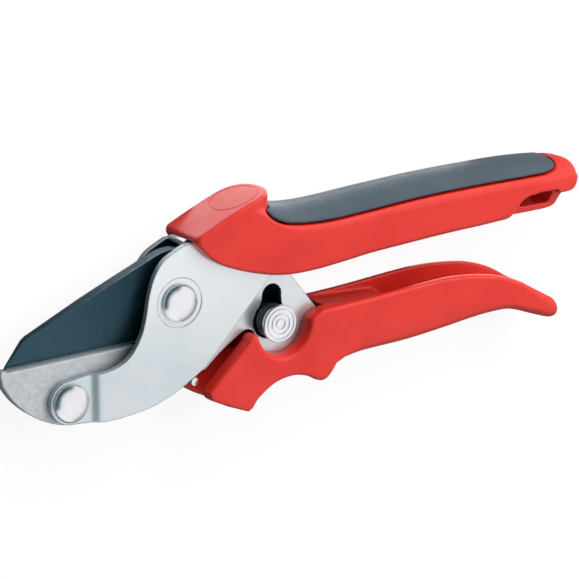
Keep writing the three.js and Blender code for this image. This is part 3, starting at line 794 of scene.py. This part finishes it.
UPPER_SIDE = upper_side_loop()
UPPER_PLAN = upper_plan_loop()
GRIP_BORDER = [
    [27, 27.4], [29.4, 24.4], [31.8, 22.2], [35.6, 20.4], [40.3, 19.5], [NECK + 2.8, 19],
    *on_upper((0.1, 19.1), (0.2, 19.9), (0.3, 20.8), (0.4, 21.6), (0.52, 22.2), (0.65, 22.6),
              (0.84, 22.9)),
]
GRIP_END = on_upper((0.872, 23.6), (0.885, 25), (0.88, 27), (0.86, 34))
GRIP_LOOP = outline(spline(GRIP_BORDER), spline(GRIP_END), [[27, 34]])


def head_pad(x, y, z):
    """The raised pad on the head, with a round end in plan."""
    end = PAD_CENTRE + UPPER_HALF
    xs = np.linspace(HEAD_FRONT, end + 4, 60)
    roof = np.column_stack([xs, head_roof(xs)])
    side = outline([[HEAD_FRONT, 17.8], [20, 16], [end + 4, 20]], roof[::-1])
    corner = head_corner()
    tongue = arc((PAD_CENTRE, 0), UPPER_HALF, 90, -90, 60)
    plan = outline(corner, tongue, (corner * (1, -1))[::-1])
    return both(distance(side, x, y), distance(plan, x, z), 1.1)


def pad_ring(x, y, z):
    """A fine ring pressed into the pad, round the middle of its rounded end."""
    radius, half_width, depth = 7.7, 0.22, 0.3
    reach = np.hypot((x - PAD_CENTRE + 0.2) * 1.06, z)
    return np.maximum(np.abs(reach - radius) - half_width, head_roof(x) - depth - y)


def upper_hollows(x, y, z):
    across = np.abs(z)
    seat_loop = outline([
        [HEAD_FRONT - 2, 17.9], [HEAD_FRONT, 18], [24, 25.9], [28.3, 24.4], [30.4, 21.4], [36, 20],
        [40, TANG_TOP + GAP], [TANG_END + GAP, TANG_TOP + GAP], [TANG_END + GAP, 0], [0, 0], [0, 14],
    ])
    hollow = np.maximum(distance(seat_loop, x, y), across - FRAME_OUT - GAP)
    ribs = up_at(np.array(UPPER_RIBS))
    for start, stop in zip(ribs[:-1] + UPPER_RIB_HALF, ribs[1:] - UPPER_RIB_HALF):
        cell = outline([[start, 0], [stop, 0], [stop, 19.6], [start, 19.6]])
        hollow = np.minimum(hollow, both(distance(cell, x, y), across - (UPPER_HALF - WALL - 0.6), 0.8))
    return hollow


def hanging_loop(x, y, z):
    """What is cut away at the handle's end to leave a thin bar with a slot over it."""
    a, b = up_at(0.77), up_at(0.88)
    half_width = 5
    rise = [[a - 7.4, 9.6], [a - 6.2, 10.9], [a - 4.4, 12.6], [a - 2.4, 14.8], [a, 16.1], [a + 3, 16.5]]
    under = [[b + 1.4, 15.7], [b + 10, 15.2], [b + 20, 14.8], [b + 20, 2]]
    notch = outline([[a - 8, 2]], spline(rise), under)
    mouth = [[a + 0.4, 13], [a + 2, 15.2], [a + 4.2, 16.9]]
    back = [[b + 0.6, 16.9], [b + 1.2, 15.2], [b - 0.3, 12.5], [b - 1, 12.1]]
    slot = outline([[a - 0.3, 12]], spline(mouth), back)
    sides = both(distance(notch, x, y), half_width - np.abs(z), 0.3)
    return np.minimum(sides, distance(slot, x, y))


def upper_shell(x, y, z):
    form = upper_form(x, y, z)
    region = distance(GRIP_LOOP, x, y) - GRIP_GROOVE
    shell = cut(form, region, 0.45)
    shell = np.minimum(shell, form + GRIP_THICKNESS + GAP)
    pad = head_pad(x, y, z)
    body = join(shell, pad, 0.01 + 1.6 * smoothstep(x, 24, 31))
    body = np.maximum(body, np.abs(z) - upper_half(x))
    body = cut(body, pad_ring(x, y, z))
    body = cut(body, upper_hollows(x, y, z), 0.3)
    return cut(body, hanging_loop(x, y, z), 0.5)


def soft_grip(x, y, z):
    form = upper_form(x, y, z)
    proud = np.minimum(0.25, UPPER_HALF - upper_half(x))
    skin = both(form - proud, distance(GRIP_LOOP, x, y), 0.75)
    skin = cut(skin, form + GRIP_THICKNESS)
    return cut(skin, head_pad(x, y, z) - GAP, 0.3)


axes = (
    axis_steps((3.2, 13, 0.4), (13, 34, 0.26), (34, NECK, 0.4), (NECK, 117, 0.8), (117, 153.4, 0.36)),
    axis_steps((3, 31.4, 0.37)),
    axis_steps((-10.6, 10.6, 0.36)),
)
piece(net("upper_shell", axes, upper_shell, RED), "frame", "red_plastic", "upper_handle")
axes = (
    axis_steps((26, 46, 0.4), (46, 132, 0.7), (132, 142, 0.4)),
    axis_steps((17.5, 29, 0.36)),
    axis_steps((-10.6, 10.6, 0.38)),
)
piece(net("grip_pad", axes, soft_grip, RUBBER), "frame", "grey_rubber", "soft_grip")

# -- lower handle

LOWER_END = [
    *on_lower((0.992, -21.4)), [LOWER_REACH, -22.9],
    *on_lower((0.992, -24.8), (0.97, -25.8), (0.945, -25.5), (0.885, -23.6), (0.81, -21.1),
              (0.757, -20.3), (0.65, -20.9), (0.503, -22.8), (0.36, -24.3), (0.217, -25)),
    [58, -25.6],
]
NEAR_TOP = [
    [49.6, -9.1],
    *on_lower((0.21, -8), (0.43, -6.4), (0.54, -6), (0.64, -6.8), (0.73, -8.4), (0.82, -11.6),
              (0.945, -18.1), (0.975, -19.8)),
]
FAR_TOP = [
    [49.6, -9.1],
    *on_lower((0.21, -8), (0.43, -6.1), (0.54, -5.6), (0.64, -6.1), (0.73, -7.4), (0.82, -10.4),
              (0.9, -14.9), (0.945, -17.9), (0.975, -19.8)),
]
NEAR_BACK = spline(NEAR_TOP + LOWER_END)
LOWER_FRONT = [
    spline([
        [54.8, -27], [52.2, -30.4], [49.8, -31.8], [47.2, -31.3], [44.2, -29.6], [38.7, -28.5],
        [32.2, -29.7], [26.4, -33.4], [24, -36.4],
    ]),
    [[22.4, -37.3], [15.5, -34.6], [9.3, -31.6]],
]
DISH_CENTRE = (LOCKED[0] + 2.3, LOCKED[1] - 1.5)
DISH_RADIUS = 9
NEAR_LOOP = outline(
    [[8.4, -29.2], [22.4, -15.5]],
    spline([[22.7, -14.9], [23.9, -13.7], [25.3, -13.4], [26.4, -14.2]]),
    arc(DISH_CENTRE, DISH_RADIUS, 201, 352, 40),
    spline([[44.7, -12.4], [45.6, -11.2], [47.2, -10.2], [49.4, -9.2]]),
    NEAR_BACK,
    *LOWER_FRONT,
)
FAR_LOOP = outline(
    [[9.4, -29.2], [20.6, -13.6], [24.2, -12.3], [34, -10.9]],
    spline(FAR_TOP),
    NEAR_BACK[SPLINE_STEPS * len(NEAR_TOP):],
    *LOWER_FRONT,
)
TROUGH_LOOP = outline(
    [[53.6, 4], [55, -9.4]],
    spline([
        [56, -9.9], [66, -10.3], [75, -10.5], [78.4, -11], [80.6, -12.6], [82.8, -16.2], [84.4, -19.2],
        [88, -20.6], *on_lower((0.5, -19.6), (0.65, -17.6), (0.757, -17), (0.81, -17.6), (0.88, -19)),
    ]),
    [[low_at(0.93), 4]],
)
POCKET_LOOP = outline([
    [0, 10], [0, -18.2], [14, -18.6], [25, -19.6], [27, -28.2], [45, -28], [57, -22.6], [80, -20.4],
    [80, -11.4], [52.4, -11.4], [51, 10],
])
TONGUE_LOOP = outline(
    [[24, -35], [9.5, -31.2], [2.8, -27.4]],
    spline([[0.6, -25.4], [0.6, -22.4], [3, -20.6]]),
    [[14, -19.4], [24, -20.4]],
)
TONGUE_FACE = -1.6
SLIT_LOOP = outline([
    [-4, -42], [-4, -17], [30, -17], [30, -19.7], [24.4, -19.7], [14.7, -29.2], [13, -42],
])
crease = through([
    [58, -21.6], [67, -20.6], [74, -19.5], [84, -18.4], [91, -17.4], [101, -16.8], [117, -17.2],
    [130, -21],
])
DISH_LOOP = outline(
    [[0, LEVER_OUT], [DISH_RADIUS - 0.4, LEVER_OUT]],
    spline([[DISH_RADIUS - 0.4, LEVER_OUT + 0.6], [DISH_RADIUS - 0.1, LEVER_OUT + 2.4],
            [DISH_RADIUS + 0.4, LEVER_OUT + 4.2], [DISH_RADIUS + 1, LOWER_HALF + 0.3]]),
    [[DISH_RADIUS + 1, LOWER_HALF + 4], [0, LOWER_HALF + 4]],
)


def lower_plan_loop():
    radius = 3.5
    end = arc((LOWER_REACH - radius, radius - LOWER_HALF), radius, -90, 0, 10)
    return two_sided([[-10, -LOWER_HALF], *end])


def lower_shell(x, y, z):
    plan = distance(lower_plan_loop(), x, z)
    across = np.abs(z)
    near_side = distance(NEAR_LOOP, x, y)
    far_side = distance(FAR_LOOP, x, y)
    below = smoothstep(x, 56, 66) * smoothstep(-y, 16, 20)
    end = smoothstep(x, low_at(0.8), low_at(0.95))
    radius = np.maximum(1.0 + 1.5 * below, 1.0 + 1.1 * end)
    draft = np.where(x > 58, 0.09 * smoothstep(x, 58, 64) * np.maximum(crease(x) - y, 0), 0)
    near = np.maximum(both(near_side, np.maximum(plan, z - LOWER_HALF + draft), radius), -z - 1)
    far = np.maximum(both(far_side, plan, radius), z - 1)
    body = np.minimum(near, far)
    hollow = both(distance(TROUGH_LOOP, x, y), across - (LOWER_HALF - WALL + 0.4), 1.2)
    for f in LOWER_RIBS:
        rib = np.maximum(np.abs(x - low_at(f)) - LOWER_RIB_HALF, y + 13.4)
        hollow = cut(hollow, rib, 0.4)
    body = cut(body, hollow, 0.45)
    pocket = np.maximum(distance(POCKET_LOOP, x, y), across - LEVER_OUT - GAP)
    body = cut(body, pocket, 0.3)
    slit = np.maximum(TONGUE_FACE - z, z - LEVER_OUT - GAP)
    body = cut(body, np.maximum(distance(SLIT_LOOP, x, y), slit), 0.3)
    tongue = both(distance(TONGUE_LOOP, x, y), np.maximum(-z - LEVER_OUT, z - TONGUE_FACE), 0.6)
    body = np.minimum(body, tongue)
    body = cut(body, np.hypot(x - CROSS_PIN[0], y - CROSS_PIN[1]) - CROSS_PIN_BORE)
    reach = np.hypot(x - DISH_CENTRE[0], y - DISH_CENTRE[1])
    return cut(body, distance(DISH_LOOP, reach, z), 0.8)


axes = (
    axis_steps((-0.6, 58, 0.42), (58, 128, 0.6), (128, 143.4, 0.42)),
    axis_steps((-38, -5.2, 0.42)),
    axis_steps((-10.1, 10.1, 0.4)),
)
piece(net("lower_shell", axes, lower_shell, RED), "lever", "red_plastic", "lower_handle")

# -- anvil

def edge_at(x):
    """Height of the shut blade's edge."""
    t = (x - EDGE_TIP[0]) / (EDGE_HEEL[0] - EDGE_TIP[0])
    return EDGE_TIP[1] + t * (EDGE_HEEL[1] - EDGE_TIP[1])


NOSE = -BLADE_REACH - 2.2
ANVIL_TOP = EDGE_TIP[1] - GAP
ANVIL_LOOP = outline(
    [[-13.4, edge_at(-13.4) - GAP], [NOSE + 2, edge_at(NOSE + 2) - GAP], [NOSE + 1.7, ANVIL_TOP + 0.6],
     [NOSE + 0.4, ANVIL_TOP + 0.5], [NOSE, ANVIL_TOP - 0.6]],
    spline([[NOSE + 0.7, -17.5], [NOSE + 5, -23.7], [NOSE + 11.4, -29], [NOSE + 19, -32.4],
            [-32.8, -33.2]]),
    [[-22, -31.6], [-17, -26], [-14.5, -18]],
)
HEEL_LOOP = outline([[-24.4, -30.6], [-20, -29.6], [-16.6, -25.5], [-16.6, -19], [-24.4, -19]])


def anvil_block(x, y, z):
    across = np.abs(z)
    body = both(distance(ANVIL_LOOP, x, y), across - ANVIL_FACE, 0.45)
    heel = both(distance(HEEL_LOOP, x, y), across - (FRAME_IN - 0.1), 0.3)
    return join(body, heel, 0.5)


axes = (
    axis_steps((NOSE - 0.6, -12.6, 0.25)),
    axis_steps((-33.8, -10.9, 0.25)),
    axis_steps((-4.8, 4.8, 0.27)),
)
piece(net("anvil_block", axes, anvil_block, CAST), "frame", "cast_anvil", "anvil")

# -- plates

FRAME_LOOP = outline(
    arc(ANVIL_CENTRE, ARM_RADIUS, 262, 92, 40),
    spline([[ANVIL_CENTRE[0] + 5, ANVIL_CENTRE[1] + 7.7], [-23.2, -17], [-17.4, -14.2], [-13.5, -8.6],
            [-11.7, -2.8], [-10.6, 3.2], [-8.7, 9], [-5.2, 13.8], [1.5, 17.4]]),
    [[HEAD_FRONT, 17.6], [24, 25.6], [28, 24.1], [30.1, 21.1], [35.8, 19.7], [40, TANG_TOP],
     [TANG_END, TANG_TOP], [TANG_END, 13.4], [60, 11], [48, 8.2], [38, 7], (32.2, 3.5), (10.3, -20)],
    spline([[8.2, -21.9], [5.4, -23.8], [3.2, -25.1], [-0.3, -27.1], [-3.8, -28.7], [-10.8, -31.1],
            [-21.5, -32.6], [-30, -32.6]]),
)


def frame_plate(name, sign, node):
    step = ANVIL_CENTRE[0] + 5.8, ANVIL_CENTRE[0] + 9.8
    shift = FRAME_IN - ARM_IN

    def joggle(x):
        return shift * smoothstep(x, *step)

    def outer(x, y):
        reach = np.hypot(x, y)
        coin = COIN_DEPTH * (1 - smoothstep(reach, COIN_RADIUS - 0.25, COIN_RADIUS + 0.25))
        return ARM_OUT + joggle(x) - coin

    def inner(x, y):
        return ARM_IN + joggle(x)

    steps = (-0.3, -0.18, -0.06, 0.06, 0.18, 0.3)
    rings = [closed(circle((0, 0), COIN_RADIUS + d, 96)) for d in steps]
    joggle_points = lattice(step[0] - 1, step[1] + 1, 0.3, -34, -15, 0.6)
    holes = [circle((0, 0), PIVOT_HOLE), circle(ANVIL_CENTRE, ANVIL_HOLE)]
    holes += [circle(SPRING_POST, POST_HOLE)] + pin_holes(HANDLE_PINS)
    low, high = inner, outer
    if sign < 0:
        low, high = (lambda x, y: -outer(x, y)), (lambda x, y: -inner(x, y))
    # The inner face takes the dark painted-shade material.
    obj = sheet(name, FRAME_LOOP, holes, low, high, [ZINC, SHEARED, PAINTED_SHADE], 0.3, 3, joggle_points,
                rings, 0 if sign > 0 else 1)
    piece(obj, "frame", "zinc_plate", node)


frame_plate("plate_front", 1, "frame_plate_front")
frame_plate("plate_back", -1, "frame_plate_back")


def keyhole_loop(grow):
    (lx, ly), (fx, fy) = LOCKED, FREE
    travel = math.hypot(fx - lx, fy - ly)
    lean = math.atan2(fy - ly, fx - lx) - math.pi / 2
    s, r = STEM_HALF + grow, LOBE_RADIUS + grow
    side = np.array([[s, travel - 1.6], [s + 0.7, travel - 3.6], [r - 0.9, 2.9], [r, 0]])
    local = outline(
        arc((0, travel), s, 0, 180, 20),
        spline(side * (-1, 1)),
        arc((0, 0), r, 190, 350, 40),
        spline(side[::-1]),
    )
    c, n = math.cos(lean), math.sin(lean)
    return local @ np.array([[c, n], [-n, c]]) + (lx, ly)


LEVER_LOOP = outline(
    arc((0, 0), 9.6, 70, 262, 40),
    spline([[5, -13.4], [6.4, -17.5], [7.2, -21.4], [8.2, -23.4]]),
    spline([[10.2, -22.9], [12.7, -20.7], [16, -18], [19.5, -15.6], [22.5, -13.7], [23.6, -13.1],
            [25, -12.8], [26.4, -13.2], [27.4, -14.2], [28, -18.6], [28.6, -24]]),
    [[31, -27], [44, -26.6], [56, -21.4], [76, -19.6], [79, -17.4], [79, -13.4], [76, -11.8],
     [52, -11.8], [50.3, -9.8], [41.2, 2]],
    spline([[40, 3.8], [38.6, 5], [36.6, 5.4]]),
    [[16, 6.4]],
)


def lever_plate(name, sign, node):
    holes = [circle((0, 0), BUSH_HOLE)] + pin_holes(BLADE_RIVETS + LEVER_PINS)
    low, high = level(LEVER_IN), level(LEVER_OUT)
    if sign < 0:
        low, high = level(-LEVER_OUT), level(-LEVER_IN)
    lips = []
    if sign > 0:
        holes.append(keyhole_loop(-0.3))
        lips = [closed(keyhole_loop(g)) for g in (0, KEYHOLE_LIP / 2, KEYHOLE_LIP)]
        edge = keyhole_loop(KEYHOLE_LIP)

        def high(x, y):
            """The face, rolled down into the keyhole all round."""
            deep = np.clip(-distance(edge, x, y) / 0.9, 0, 1)
            return LEVER_OUT - 0.8 * deep ** 1.6

    # The inner face takes the dark painted-shade material.
    obj = sheet(name, LEVER_LOOP, holes, low, high, [ZINC, SHEARED, PAINTED_SHADE, COAT], 0.25, lines=lips,
                inner=0 if sign > 0 else 1)
    if sign > 0:
        x, y, _ = face_centres(obj).T
        index = material_index(obj)
        # Painted shade: the keyhole's rolled rim takes the dark coat colour.
        index[distance(keyhole_loop(0.45), x, y) < 0] = 3
        paint_faces(obj, index)
    piece(obj, "lever", "zinc_plate", node)


lever_plate("link_front", 1, "lever_plate_front")
lever_plate("link_back", -1, "lever_plate_back")

# -- blade

HUB_RADIUS = 15.6
NOTCH_RADIUS = 12.4
TIP = EDGE_TIP[0]
BLADE_LOOP = outline(
    [EDGE_TIP, [TIP + 0.6, -12.2], [TIP + 6.2, -5.4]],
    spline([[TIP + 7.6, -4.4], [TIP + 28.6, 5], [TIP + 45.7, 12.3], [-4, 14.9], [0.5, 15.59]], 10),
    arc((0, 0), HUB_RADIUS, 86, 78, 4),
    arc((0, 0), NOTCH_RADIUS, 74, 44, 12),
    arc((0, 0), HUB_RADIUS, 38, -122, 60),
    [EDGE_HEEL],
)
ROOT_RADIUS = 10.4
EDGE_HALF = 0.22
BRIGHT_WIDTH = 0.35
HONED_WIDTH = 0.9
GRIND_WIDTH = 16
EDGE_ANGLE = math.atan2(EDGE_HEEL[1] - EDGE_TIP[1], EDGE_HEEL[0] - EDGE_TIP[0])


def above_edge(x, y):
    return (y - EDGE_TIP[1]) * math.cos(EDGE_ANGLE) - (x - EDGE_TIP[0]) * math.sin(EDGE_ANGLE)


def edge_line(offset, start=0, stop=60, steps=60):
    t = np.linspace(start, stop, steps)[:, None]
    along = np.array([math.cos(EDGE_ANGLE), math.sin(EDGE_ANGLE)])
    across = np.array([-along[1], along[0]])
    return np.array(EDGE_TIP) + t * along + offset * across


def blade_half(x, y):
    d = above_edge(x, y)
    ground = np.interp(d, [0, HONED_WIDTH, GRIND_WIDTH], [EDGE_HALF, 0.5, BLADE_FACE])
    return np.where(np.hypot(x, y) < ROOT_RADIUS, BLADE_FACE, ground)


def blade_ground():
    holes = [circle((0, 0), BUSH_HOLE)] + pin_holes(BLADE_RIVETS)
    lines = [edge_line(BRIGHT_WIDTH), edge_line(HONED_WIDTH), edge_line(GRIND_WIDTH, 20, 60, 40)]
    lines.append(closed(circle((0, 0), ROOT_RADIUS, 90)))
    points = lattice(-55, 14, 1.4, -14, 15, 1.4)
    obj = sheet("blade_ground", BLADE_LOOP, holes, lambda x, y: -blade_half(x, y), blade_half,
                [COAT, COAT, HONED, SPINE_HIGHLIGHT], 0.12, 2, points, lines)
    x, y, _ = face_centres(obj).T
    # The walls along the blade's back take the painted-highlight material.
    index = np.where((material_index(obj) == 1) & (y > -11.6), 3, 0)
    index[(above_edge(x, y) < BRIGHT_WIDTH) & (x < -8)] = 2
    paint_faces(obj, index)
    piece(obj, "lever", "coated_steel", "blade")


blade_ground()

# -- rivets, pins, button, spring

def dome_rivet(name, centre, shank, seat, node):
    a = np.radians(np.linspace(0, 90, 12))
    dome = np.column_stack([DOME_RADIUS * np.cos(a), seat + 0.5 + (DOME_HEIGHT - 0.5) * np.sin(a)])
    dome[-1, 0] = 0
    foot = [[shank, seat], [DOME_RADIUS - 0.25, seat], [DOME_RADIUS - 0.06, seat + 0.15]]
    half = np.concatenate([foot, dome])
    profile = two_sided((half * (1, -1))[::-1])
    piece(lathe(name, centre, profile, [STEEL]), "frame", "polished_steel", node)


dome_rivet("rivet_anvil", ANVIL_CENTRE, 2.5, ARM_OUT + 0.1, "anvil_rivet")
dome_rivet("rivet_pivot", (0, 0), 3, FRAME_OUT - COIN_DEPTH + 0.1, "pivot_rivet")

GROOVE_SECTION = ((0.34, 0), (0.24, 0.06), (0.12, 0.45), (-0.12, 0.45), (-0.24, 0.06), (-0.34, 0))


def thumb_button():
    top = LEVER_OUT + 6.2
    rim = top - 1.5
    seat = LEVER_OUT + GAP
    barrel, face, stem = 5.3, 5.9, 2.6
    profile = [[0, -1.8], [stem - 0.2, -1.8], [stem, -1.6], [stem, seat], [barrel - 0.2, seat],
               [barrel, seat + 0.2]]
    for z in np.arange(seat + 0.75, rim - 0.7, 0.75):
        profile += [[barrel, z], [barrel - 0.25, z + 0.12], [barrel - 0.25, z + 0.4], [barrel, z + 0.52]]
    profile += [[barrel, rim - 0.6], [face - 0.35, rim - 0.05], [face - 0.1, rim + 0.1],
                [face, rim + 0.35], [face, top - 0.45], [face - 0.08, top - 0.2],
                [face - 0.25, top - 0.05], [face - 0.45, top]]
    for ratio in (0.8, 0.53, 0.27):
        r = face * ratio
        for out, down in GROOVE_SECTION:
            profile.append([r + out, top - down])
    profile.append([0, top])
    obj = lathe("thumb_button", LOCKED, profile, [STEEL, COAT, WIRE], 128)
    x, y, z = face_centres(obj).T
    # Painted reflection: the barrel is dark, with the coat colour in its grooves as painted shade and
    # spring-steel grey on its ridges.
    index = np.where(np.hypot(x - LOCKED[0], y - LOCKED[1]) < barrel - 0.05, 1, 2)
    index[z > rim - 0.3] = 0
    paint_faces(obj, index)
    piece(obj, "lock", "polished_steel", "lock_button")


thumb_button()
piece(
    lathe("cross_pin_turned", CROSS_PIN, two_sided([
        [0, -LEVER_OUT], [0.9, -LEVER_OUT], [1.25, 0.15 - LEVER_OUT], [1.35, 0.4 - LEVER_OUT],
    ]), [STEEL], 48),
    "lever", "polished_steel", "cross_pin",
)


def spring_path():
    cx, cy = SPRING_POST
    mean = 4.2
    rise = 2.5
    bottom = -rise / 2
    points = [[cx - 18.4, cy + 1.1, bottom], [cx - 15, cy + 1.3, bottom], [cx - 11, cy + 2.1, bottom],
              [cx - 6, cy + 3.8, bottom]]
    for i in range(22):
        a = math.radians(95 - 545 * i / 21)
        points.append([cx + mean * math.cos(a), cy + mean * math.sin(a), bottom + rise * i / 21])
    foot = [[cx - 5.5, cy - 4.1], [cx - 10.5, cy - 3.3], [cx - 13, cy - 3.3], [cx - 15.4, cy - 3.9]]
    return spline(points + [[x, y, -bottom] for x, y in foot], 8)


piece(tube("spring_coil", spring_path(), WIRE_RADIUS, [WIRE]), "frame", "spring_steel", "return_spring")


def bridge_strip():
    strip = outline([[2.5, 16.8], [9, 16.8], [9, 17.8], [3.7, 17.7], [3.7, 18.5], [2.5, 18.2]])
    half = FRAME_IN - 0.05
    obj = sheet("bridge_strip", strip, [], level(-half), level(half), [STEEL, STEEL], 0.15)
    piece(obj, "frame", "zinc_plate", "frame_bridge")


bridge_strip()

# -- camera, light and floor

CAMERA_TARGET = (43, -3.8, 0)
CAMERA_DISTANCE = 0.9
CAMERA_LENS = 181.9
CAMERA_RIGHT = (0.8387, 0, 0.5446)  # the photo's view
CAMERA_BACK = (-0.5248, 0.2672, 0.8082)
WHITE = (1, 1, 1, 1)
FLOOR_GLOW = 1.5
FLOOR_SHARE = 0.6
scene = bpy.context.scene
scene.view_settings.view_transform = "Standard"

target = Vector(PIVOT) + Vector(CAMERA_TARGET) * MM
back = Vector(CAMERA_BACK).normalized()
up = back.cross(Vector(CAMERA_RIGHT)).normalized()
right = up.cross(back).normalized()
spot = target + back * CAMERA_DISTANCE
camera_data = bpy.data.cameras.new("camera")
camera_data.lens = CAMERA_LENS
camera_data.sensor_width = 36
camera_data.clip_end = 20
camera = add_object("camera", camera_data)
camera.matrix_world = Matrix(((*right, 0), (*up, 0), (*back, 0), (*spot, 1))).transposed()
scene.camera = camera


def seen_or_mirrored(tree):
    """1 for rays from the camera and for reflected and refracted ones."""
    path = add_node(tree, "LightPath").outputs
    total = path["Is Camera Ray"]
    for name in ("Is Glossy Ray", "Is Transmission Ray"):
        total = add_node(tree, "Math", {0: total, 1: path[name]}, operation="MAXIMUM").outputs[0]
    return total


def studio_world(fill):
    """White where it is seen or mirrored, and a soft fill of `fill` on everything."""
    world = bpy.data.worlds.new("studio")
    scene.world = world
    world.use_nodes = True
    tree = world.node_tree
    plain = tree.nodes["Background"]
    plain.inputs[0].default_value = WHITE
    plain.inputs[1].default_value = fill
    white = add_node(tree, "Background", {0: WHITE, 1: 1.0})
    seen = seen_or_mirrored(tree)
    mix = add_node(tree, "MixShader", {0: seen, 1: plain.outputs[0], 2: white.outputs[0]})
    tree.links.new(mix.outputs[0], tree.nodes["World Output"].inputs[0])


def lamp(name, place, size, energy):
    data = bpy.data.lights.new(name, "AREA")
    data.size = size
    data.energy = energy
    obj = add_object(name, data)
    obj.location = Vector(place)
    obj.rotation_mode = "QUATERNION"
    obj.rotation_quaternion = Vector(place).to_track_quat("Z", "Y")
    obj.visible_glossy = False


def board(name, verts, faces, material):
    mesh = bpy.data.meshes.new(name)
    mesh.from_pydata(verts, [], faces)
    mesh.materials.append(material)
    obj = add_object(name, mesh)
    return obj


def bare_material(name):
    material = bpy.data.materials.new(name)
    material.use_nodes = True
    material.node_tree.nodes.remove(material.node_tree.nodes["Principled BSDF"])
    return material, material.node_tree


def floor():
    """A white floor that keeps the shears' shadow."""
    material, tree = bare_material("floor")
    matte = add_node(tree, "BsdfDiffuse", {0: (0.3, 0.3, 0.3, 1)})
    glow = add_node(tree, "Emission", {0: WHITE, 1: FLOOR_GLOW})
    seen = add_node(tree, "LightPath").outputs["Is Camera Ray"]
    share = add_node(tree, "Math", {0: seen, 1: FLOOR_SHARE}, operation="MULTIPLY")
    blend = add_node(tree, "MixShader", {0: share.outputs[0], 1: matte.outputs[0], 2: glow.outputs[0]})
    tree.links.new(blend.outputs[0], tree.nodes["Material Output"].inputs[0])
    board("floor", [(-3, -3, 0), (3, -3, 0), (3, 3, 0), (-3, 3, 0)], [(0, 1, 2, 3)], material)


def unseen(name, verts, faces, colour):
    """A card that only reflections see, for contrast in the bare metal."""
    material, tree = bare_material(name)
    glow = add_node(tree, "Emission", {0: (*colour, 1)})
    tree.links.new(glow.outputs[0], tree.nodes["Material Output"].inputs[0])
    obj = board(name, verts, faces, material)
    for kind in ("camera", "diffuse", "transmission", "shadow", "volume_scatter"):
        setattr(obj, "visible_" + kind, False)


def card(name, place, normal, along, half_width, half_height, colour):
    z = Vector(normal).normalized()
    y = z.cross(Vector(along)).normalized() * half_height
    x = Vector(along).normalized() * half_width
    place = Vector(place)
    unseen(name, [place - x - y, place + x - y, place + x + y, place - x + y], [(0, 1, 2, 3)], colour)


def horizon(name, reach, around, tall, colour):
    """A curved card round the back of the set, part of a ball about the origin; angles in degrees."""
    turns = np.radians(np.linspace(*around, 40))
    verts = []
    for a in turns:
        for rise in np.radians(tall):
            flat = reach * math.cos(rise)
            verts.append((flat * math.cos(a), flat * math.sin(a), reach * math.sin(rise)))
    faces = [(2 * k, 2 * k + 1, 2 * k + 3, 2 * k + 2) for k in range(len(turns) - 1)]
    unseen(name, verts, faces, colour)


studio_world(0.32)
lamp("key", (0.3, 0.9, 0.5), 0.6, 8.0)
lamp("side", (0.6, 0.3, 0.76), 0.6, 6.0)
floor()
horizon("horizon", 0.6, (66, 212), (0, 47), (0.04, 0.1, 0.115))
horizon("upper_horizon", 0.6, (66, 212), (47, 60), (0.36, 0.42, 0.44))
card("back_card", (0.078, -0.004, 0.0006), (0, 0, 1), (1, 0, 0), 0.03, 0.02, (1.9, 1.9, 1.9))
card("grey_card", (0.42, -0.3, 0.13), (0.8, -0.6, 0), (0.6, 0.8, 0), 0.4, 0.13, (0.42, 0.43, 0.45))
card("bright_card", (0.001, 0.278, 0.001), (0, 0, 1), (1, 0, 0), 0.069, 0.25, (1.9, 1.9, 1.9))
card("dark_floor", (-0.22, 0.13, 0.001), (0, 0, 1), (1, 0, 0), 0.15, 0.24, (0.05, 0.11, 0.125))
